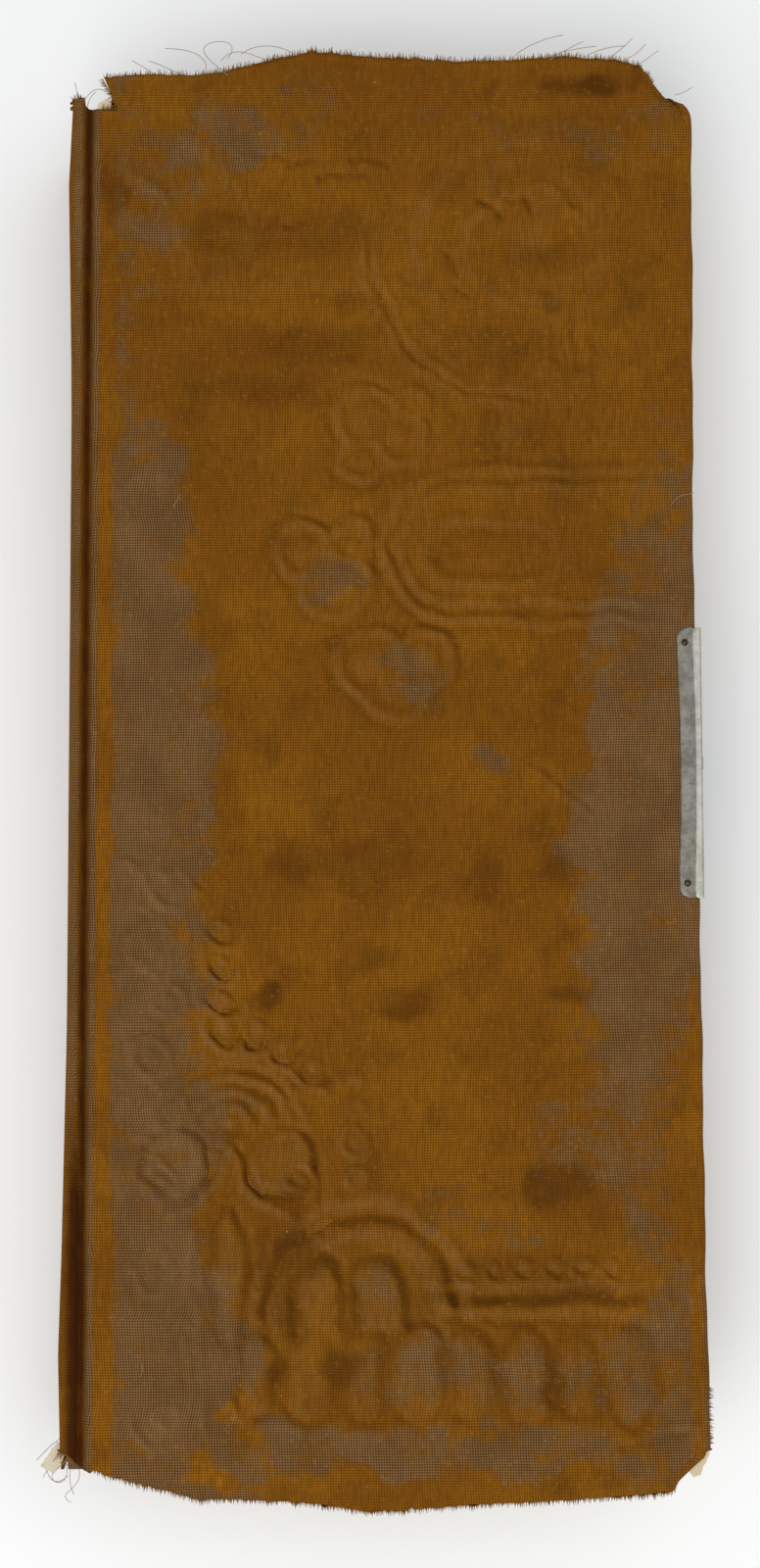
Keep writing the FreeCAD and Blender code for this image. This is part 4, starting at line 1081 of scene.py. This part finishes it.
FLAP_LEVEL = TOP_FACE - 0.6
loose_threads = [
    thread("head_threads_spine_side", "front_cover", FLAP_LEVEL, [
        [(-72, 213, 0), (-76, 215.5, 1), (-79, 217, 1.5)],
        [(-65, 213.5, 0), (-70, 215.8, 1), (-74, 217, 1.2)],
        [(-57, 213.5, 0), (-55, 218, 1), (-60, 220.5, 2), (-69, 220.5, 2)],
        [(-50, 213, 0), (-56, 217, 2), (-59, 221, 2.5), (-52, 223.5, 2), (-47, 222, 1), (-50, 218, 0)],
        [(-38, 217.5, 0), (-44, 219.5, 1), (-48, 221.5, 2), (-52, 217, 1)],
        [(-29, 219, 0), (-34, 222, 1.5), (-41, 222.6, 2), (-46, 219, 1)]]),
    thread("head_threads_fore_edge", "front_cover", FLAP_LEVEL, [
        [(36, 217, 0), (38, 220, 1.5), (44, 223, 2), (52, 224.5, 2)],
        [(48, 217.5, 0), (52, 220, 1), (58, 222.5, 2)],
        [(46, 218, 0), (53, 220.5, 1), (62, 221, 2)],
        [(58, 218, 0), (63, 221, 1.5), (71, 221.5, 1)],
        [(66, 218, 0), (70, 220.5, 1), (73, 223.5, 2)],
        [(70, 217, 0), (75, 219, 1), (77, 222, 1)],
        [(75, 216, 0), (79, 218.5, 1), (81, 220, 1)],
        [(86, 206.5, 0), (89, 207, 0.6), (91, 208.5, 1)]]),
    thread("tail_threads_spine_side", "spine", 0, [
        [(-96, -197, 47), (-99, -199, 46), (-102, -203, 43), (-104, -207, 40)],
        [(-95, -199, 47), (-98, -203, 45), (-103, -206, 42), (-99, -210, 40), (-96, -206, 42),
         (-97, -201, 45)],
        [(-94, -200, 47), (-97, -206, 44), (-95, -212, 40)],
        [(-97, -194, 46), (-101, -196, 45), (-104, -200, 42), (-106, -202, 40)],
        [(-93, -202, 47), (-92, -206, 45), (-95, -210, 42), (-99, -213, 39), (-96, -214.5, 39)],
        [(-96, -196, 45), (-102, -199, 42), (-105, -205, 38), (-101, -211, 36), (-97, -207, 38)]]),
    thread("spine_head_threads", "spine", 0, [
        [(-95, 205, 49), (-96, 208, 50), (-96.5, 211, 50)],
        [(-94, 205, 49), (-92, 208.5, 51), (-89, 209.5, 51), (-87, 208, 50)],
        [(-93, 204, 48), (-92, 207, 50), (-90, 208, 50)]]),
    thread("stray_fibres", "front_cover", TOP_FACE, [
        [(-66, 80, 0.45), (-64.5, 82, 0.9), (-63.8, 84, 0.5)],
        [(-74, -172, 0.4), (-73.6, -174, 0.7), (-74.4, -176, 0.4)],
        [(83, 80, 0.5), (85, 84, 0.8), (88, 83, 0.6), (90, 84, 0.2)]], 0.09)]


# ------------------------------------------------------------------ boards, card and paper
# Grey-tan pulp boards and the shaped card under the velvet, brown book cloth in the joints,
# and cream endpapers, foxed and brown at the edges.
def paper_finish(name, light, dark, speck, fibre=700.0):
    """Board, card or paper: mottled colour, brown specks and a fibrous surface."""
    finish, tree, shader, place = new_finish(name, 0.85, specular=0.25)
    fibres = noise(tree, place, fibre, 4.0, 0.7)
    colour = mix_colour(tree, patches(tree, place, 22.0, 5.0, 0.35, 0.7), light, dark)
    colour = mix_colour(tree, times(tree, patches(tree, place, 130.0, 3.0, 0.64, 0.74), 0.5), colour, speck)
    colour = mix_colour(tree, times(tree, step_mask(tree, fibres, 0.5, 0.75), 0.25), colour, dark)
    tree.links.new(colour, shader.inputs["Base Color"])
    tree.links.new(bump_from(tree, fibres, 0.00008), shader.inputs["Normal"])
    return finish


def linen_finish(name, warp, weft, pitch):
    """Plain woven linen or book cloth from its threads' colours."""
    finish, tree, shader, place = new_finish(name, 0.85, specular=0.2)
    scaled = tree.nodes.new("ShaderNodeVectorMath")
    scaled.operation = "SCALE"
    scaled.inputs["Scale"].default_value = 2.0
    tree.links.new(place, scaled.inputs[0])
    threads = woven(tree, scaled.outputs[0], pitch, 0.25)["Threads"]
    colour = mix_colour(tree, threads, warp, weft)
    soiled = times(tree, patches(tree, place, 50.0, 4.0, 0.4, 0.7), 0.45)
    colour = mix_colour(tree, soiled, colour, tuple(0.55 * part for part in warp))
    tree.links.new(colour, shader.inputs["Base Color"])
    tree.links.new(bump_from(tree, threads, 0.0001), shader.inputs["Normal"])
    return finish


def dress_nodes(finish, slot_name, *names):
    """Gives CAD nodes their finish."""
    for name in names:
        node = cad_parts[name]
        node.data.materials.clear()
        node.data.materials.append(finish)


board_stock = paper_finish("pulp_board", (0.42, 0.34, 0.23), (0.30, 0.23, 0.15), (0.16, 0.10, 0.05))
card_stock = paper_finish("relief_card", (0.62, 0.53, 0.37), (0.47, 0.37, 0.22), (0.28, 0.16, 0.06))
endpaper = paper_finish("endpaper", (0.66, 0.60, 0.46), (0.55, 0.46, 0.31), (0.36, 0.21, 0.09), 1200.0)
lining = paper_finish("spine_lining", (0.40, 0.33, 0.24), (0.29, 0.22, 0.14), (0.18, 0.11, 0.05))
joint_cloth = linen_finish("joint_cloth", (0.115, 0.060, 0.028), (0.19, 0.105, 0.05), 0.6)
dress_nodes(board_stock, "cover_board", "front_board", "back_board", "spine_board")
dress_nodes(card_stock, "relief_card", "relief_underlay")
dress_nodes(endpaper, "endpaper", "front_pastedown", "back_pastedown")
dress_nodes(lining, "lining_paper", "spine_lining")
dress_nodes(joint_cloth, "joint_cloth", "front_joint_cloth", "back_joint_cloth")


# ------------------------------------------------------------------ torn scraps
# Card and paper torn where the velvet is gone: the shaped card at the tail corner of the
# fore-edge and at the mitre by the head of the spine, and lining paper at the spine's tail.
def scrap(name, outline, level, thick, finish, body):
    """A scrap of card or paper with a torn outline, slightly curled at its edge."""
    maker = bmesh.new()
    random = np.random.default_rng(len(name))
    ring = []
    for (x0, y0), (x1, y1) in zip(outline, outline[1:] + outline[:1]):
        for t in np.linspace(0, 1, 5, endpoint=False):
            ring.append((x0 + (x1 - x0) * t + random.normal(0, 0.12),
                         y0 + (y1 - y0) * t + random.normal(0, 0.12)))
    middle = np.mean(ring, axis=0)

    def vertex(x, y, z):
        curl = 0.02 * math.hypot(x - middle[0], y - middle[1]) ** 1.4
        return maker.verts.new((x * MM, y * MM, (z + curl) * MM))

    upper, lower = [[vertex(x, y, z) for x, y in ring] for z in (level, level - thick)]
    centre_up, centre_low = [vertex(*middle, z) for z in (level, level - thick)]
    for k in range(len(ring)):
        n = (k + 1) % len(ring)
        maker.faces.new((centre_up, upper[k], upper[n]))
        maker.faces.new((centre_low, lower[n], lower[k]))
        maker.faces.new((upper[k], lower[k], lower[n], upper[n]))
    bmesh.ops.recalc_face_normals(maker, faces=maker.faces)
    mesh = bpy.data.meshes.new(name)
    maker.to_mesh(mesh)
    maker.free()
    mesh.materials.append(finish)
    piece = bpy.data.objects.new(name, mesh)
    scene.collection.objects.link(piece)
    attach(piece, body)


scrap("tail_corner_scrap", [(79.8, -199.5), (91.2, -194), (91.0, -199), (88.6, -204.6), (86.4, -205.4),
                            (85.0, -203.6), (81.4, -204.9)],
      card_top - 0.05, 0.45, card_stock, "front_cover")
scrap("head_mitre_scrap", [(-89.6, 200.4), (-89.4, 204.2), (-86.5, 205.8), (-82.4, 203.4), (-81.4, 200.6)],
      card_top + 0.05, 0.45, card_stock, "front_cover")
scrap("spine_tail_scrap", [(-99.5, -196), (-97, -199), (-98.5, -203), (-101, -205), (-104.5, -203),
                           (-102, -199.5)], 44.0, 0.35, endpaper, "spine")

# ------------------------------------------------------------------ leaves
# Ten stiff leaves: a grey core between two cream window mats, gilt on their outer edges
# and ruled in gold round each window, hung on linen guards.
LEAVES = 10
GILT_DEEP = 0.00008
mat_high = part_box("leaf_01_recto_mat")[1]
window_half, window_long = 0.049, 0.073
window_x, window_y = 0.0015, 0.0905


def gilt_mat_finish():
    """Cream mat card, gold on its edges and in a double rule round the windows."""
    finish, tree, shader, place = new_finish("window_mat", 0.6, specular=0.35)
    apart = tree.nodes.new("ShaderNodeSeparateXYZ")
    tree.links.new(place, apart.inputs[0])
    x, y = apart.outputs["X"], apart.outputs["Y"]

    def size_of(value):
        return math_node(tree, "ABSOLUTE", value)

    from_x = minus(tree, size_of(minus(tree, x, window_x)), window_half)
    from_y = minus(tree, size_of(minus(tree, size_of(y), window_y)), window_long)
    out = math_node(tree, "MAXIMUM", from_x, from_y)
    thick_rule, thin_rule = [math_node(tree, "LESS_THAN", size_of(minus(tree, out, at)), half)
                             for at, half in ((0.0022, 0.0005), (0.0042, 0.00022))]
    fore_edge = math_node(tree, "GREATER_THAN", x, mat_high.x - GILT_DEEP)
    end_edges = math_node(tree, "GREATER_THAN", size_of(y), mat_high.y - GILT_DEEP)
    gold = thick_rule
    for area in (thin_rule, fore_edge, end_edges):
        gold = math_node(tree, "MAXIMUM", gold, area)
    gold = times(tree, gold, patches(tree, place, 420.0, 4.0, 0.30, 0.5))
    paper = mix_colour(tree, patches(tree, place, 18.0, 5.0, 0.4, 0.7), (0.71, 0.64, 0.48),
                       (0.60, 0.50, 0.33))
    foxing = times(tree, patches(tree, place, 95.0, 3.0, 0.66, 0.76), 0.5)
    paper = mix_colour(tree, foxing, paper, (0.38, 0.22, 0.09))
    tree.links.new(mix_colour(tree, gold, paper, (0.56, 0.36, 0.12)), shader.inputs["Base Color"])
    tree.links.new(times(tree, gold, 0.85), shader.inputs["Metallic"])
    tree.links.new(minus(tree, 0.62, times(tree, gold, 0.28)), shader.inputs["Roughness"])
    tree.links.new(bump_from(tree, noise(tree, place, 1400.0), 0.00004), shader.inputs["Normal"])
    return finish


mat_stock = gilt_mat_finish()
core_stock = paper_finish("leaf_core", (0.44, 0.40, 0.33), (0.35, 0.30, 0.23), (0.24, 0.16, 0.08))
guard_linen = linen_finish("guard_linen", (0.50, 0.44, 0.33), (0.62, 0.56, 0.44), 0.6)
for number in range(1, LEAVES + 1):
    leaf = f"leaf_{number:02d}"
    dress_nodes(core_stock, "leaf_card", f"{leaf}_core")
    dress_nodes(mat_stock, "leaf_mat", f"{leaf}_recto_mat", f"{leaf}_verso_mat")
    dress_nodes(guard_linen, "guard_linen", f"{leaf}_guard")


# ------------------------------------------------------------------ clasp
# Nickel-plated sheet: the catch plate is folded over the front fore-edge and held by two
# small nails; the hasp hangs on a pin in a plate nailed under the back cover.
def plated_finish(name, base, worn, roughness, pits, metal):
    """Tarnished plating: cloudy, finely pitted, streaked along its length."""
    finish, tree, shader, place = new_finish(name, roughness, metal)
    cloud = noise(tree, place, 240.0, 5.0, 0.65)
    brushed = noise(tree, stretched(tree, place, 0.06), 2600.0, 3.0, 0.6)
    spots = step_mask(tree, noise(tree, place, 1100.0, 3.0, 0.6), 0.60, 0.72)
    colour = mix_colour(tree, step_mask(tree, cloud, 0.35, 0.68), base, worn)
    colour = mix_colour(tree, times(tree, spots, pits), colour, (0.05, 0.045, 0.038))
    tree.links.new(colour, shader.inputs["Base Color"])
    dulled = plus(tree, roughness, times(tree, plus(tree, cloud, spots), 0.16))
    tree.links.new(dulled, shader.inputs["Roughness"])
    surface = minus(tree, times(tree, brushed, 0.3), times(tree, spots, 0.7))
    tree.links.new(bump_from(tree, surface, 0.00005), shader.inputs["Normal"])
    return finish


# Dark nickel for the flat and the hasp; a lighter copy of it for the catch plate's raised outer strip, as a
# painted highlight.
dull_plate = plated_finish("dull_nickel", (0.138, 0.128, 0.106), (0.245, 0.230, 0.195), 0.42, 0.65, 0.75)
lit_strip_plate = plated_finish("lit_strip_nickel", (0.33, 0.325, 0.275), (0.46, 0.455, 0.40), 0.36, 0.3, 0.8)
nail_steel = plated_finish("nail_steel", (0.035, 0.031, 0.027), (0.085, 0.078, 0.068), 0.28, 0.5, 0.85)

plate_low, plate_high = box_mm("catch_plate")
plate_mid = (plate_low.y + plate_high.y) / 2
plate_half = (plate_high.y - plate_low.y) / 2
# Across the plate, as shares of its width and drops below its top: rounded inner edge,
# pitted flat, valley, raised outer strip, lip.
ACROSS = ((0.0, -0.34), (0.03, -0.10), (0.10, 0.0), (0.35, -0.02), (0.52, -0.06), (0.60, -0.20),
          (0.66, -0.12), (0.72, 0.0), (0.80, 0.02), (0.90, 0.02), (0.955, -0.04), (0.985, -0.20),
          (1.0, -0.45))
PLATE_ROWS = 97
PLATE_CORNER = 3.0
VALLEY_SHARE = 0.66
SHEET_THICK = 0.55


def inner_edge(y):
    """Where the plate's inner edge is: hollowed along its length, round at its two corners."""
    end = plate_half - abs(y - plate_mid)
    cut = PLATE_CORNER - math.sqrt(max(0.0, PLATE_CORNER ** 2 - max(0.0, PLATE_CORNER - end) ** 2))
    return plate_low.x + cut + 0.7 * max(0.0, 1 - ((y - plate_mid) / 31.45) ** 2)


def valley_shift(y):
    """How far the valley stands out of its share of the width: most at mid-length."""
    return 0.35 - 0.5 * ((y - plate_mid) / plate_half) ** 2


plate_points = []
for y in np.linspace(plate_low.y, plate_high.y, PLATE_ROWS):
    inner = inner_edge(y)
    for share, drop in ACROSS:
        x = inner + (plate_high.x - inner) * share + (valley_shift(y) if 0.5 < share < 0.75 else 0)
        plate_points.append((x * MM, y * MM, (plate_high.z + drop) * MM))
    for z in (plate_high.z - 1.0, plate_high.z - 1.8, plate_low.z):
        plate_points.append((plate_high.x * MM, y * MM, z * MM))
wide = len(ACROSS) + 3
plate_faces = [(a, a + 1, a + wide + 1, a + wide)
               for k in range(PLATE_ROWS - 1) for a in range(k * wide, (k + 1) * wide - 1)]
mesh = bpy.data.meshes.new("catch_plate_metal")
mesh.from_pydata(plate_points, [], plate_faces)
catch = bpy.data.objects.new("catch_plate_metal", mesh)
scene.collection.objects.link(catch)
sheet_metal = catch.modifiers.new("sheet", "SOLIDIFY")
sheet_metal.thickness, sheet_metal.offset = SHEET_THICK * MM, -1.0

NAIL_HOLE = 1.1
NAIL_HEAD = 0.95
HEAD_HIGH = 0.62


def nail_places(node):
    """The two nails' place across the book and their two places along it."""
    low, high = box_mm(node)
    return (low.x + high.x) / 2, (low.y + NAIL_HEAD, high.y - NAIL_HEAD)


nail_x, nail_ys = nail_places("catch_plate_nails")
drill_maker = bmesh.new()
for y in nail_ys:
    bmesh.ops.create_cone(drill_maker, cap_ends=True, segments=28, radius1=NAIL_HOLE * MM,
                          radius2=NAIL_HOLE * MM, depth=4 * MM,
                          matrix=Matrix.Translation((nail_x * MM, y * MM, plate_high.z * MM)))
drill_mesh = bpy.data.meshes.new("drill")
drill_maker.to_mesh(drill_mesh)
drill_maker.free()
drill = bpy.data.objects.new("drill", drill_mesh)
scene.collection.objects.link(drill)
holes = catch.modifiers.new("holes", "BOOLEAN")
holes.operation, holes.object, holes.solver = "DIFFERENCE", drill, "EXACT"
plain_mesh(catch)
bpy.data.objects.remove(drill)
catch.data.materials.clear()
catch.data.materials.append(dull_plate)
catch.data.materials.append(lit_strip_plate)
# The raised outer strip takes the lighter nickel, a painted highlight along the strip.
for face in catch.data.polygons:
    x, y, _ = face.center / MM
    inner = inner_edge(y)
    face.material_index = int(x > inner + VALLEY_SHARE * (plate_high.x - inner) + valley_shift(y))
catch.data.shade_smooth()
catch.data.set_sharp_from_angle(angle=math.radians(35))
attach(catch, "front_cover")
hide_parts("catch_plate")

NAIL_PROFILE = ((0.0, HEAD_HIGH), (0.30, 0.60), (0.55, 0.52), (0.78, 0.36), (0.93, 0.14), (NAIL_HEAD, 0.0),
                (0.5, -0.02), (0.5, -3.1), (0.0, -3.2))
NAIL_SIDES = 20


def nail_pair(name, node, base, way, body):
    """Two turned nails that stand for a CAD node: shallow domed heads on round shanks."""
    maker = bmesh.new()
    x, ys = nail_places(node)
    for y in ys:
        rings = []
        for radius, z in NAIL_PROFILE:
            angles = np.linspace(0, 2 * math.pi, NAIL_SIDES if radius else 1, endpoint=False)
            rings.append([maker.verts.new(((x + radius * math.cos(a)) * MM, (y + radius * math.sin(a)) * MM,
                                           (base + way * z) * MM)) for a in angles])
        for upper, lower in zip(rings, rings[1:]):
            for k in range(NAIL_SIDES):
                n = (k + 1) % NAIL_SIDES
                corners = [upper[k % len(upper)], upper[n % len(upper)], lower[n % len(lower)],
                           lower[k % len(lower)]]
                maker.faces.new(list(dict.fromkeys(corners)))
    bmesh.ops.recalc_face_normals(maker, faces=maker.faces)
    mesh = bpy.data.meshes.new(name)
    maker.to_mesh(mesh)
    maker.free()
    mesh.shade_smooth()
    mesh.set_sharp_from_angle(angle=math.radians(50))
    mesh.materials.append(nail_steel)
    piece = bpy.data.objects.new(name, mesh)
    scene.collection.objects.link(piece)
    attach(piece, body)
    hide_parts(node)


nail_pair("catch_nails", "catch_plate_nails", box_mm("catch_plate_nails")[1].z - HEAD_HIGH, 1, "front_cover")
nail_pair("hasp_nails", "hasp_plate_nails", box_mm("hasp_plate_nails")[0].z + HEAD_HIGH, -1, "back_cover")
dress_nodes(dull_plate, "clasp_metal", "hasp_plate", "hasp_arm")
dress_nodes(nail_steel, "nail_steel", "hasp_pin")
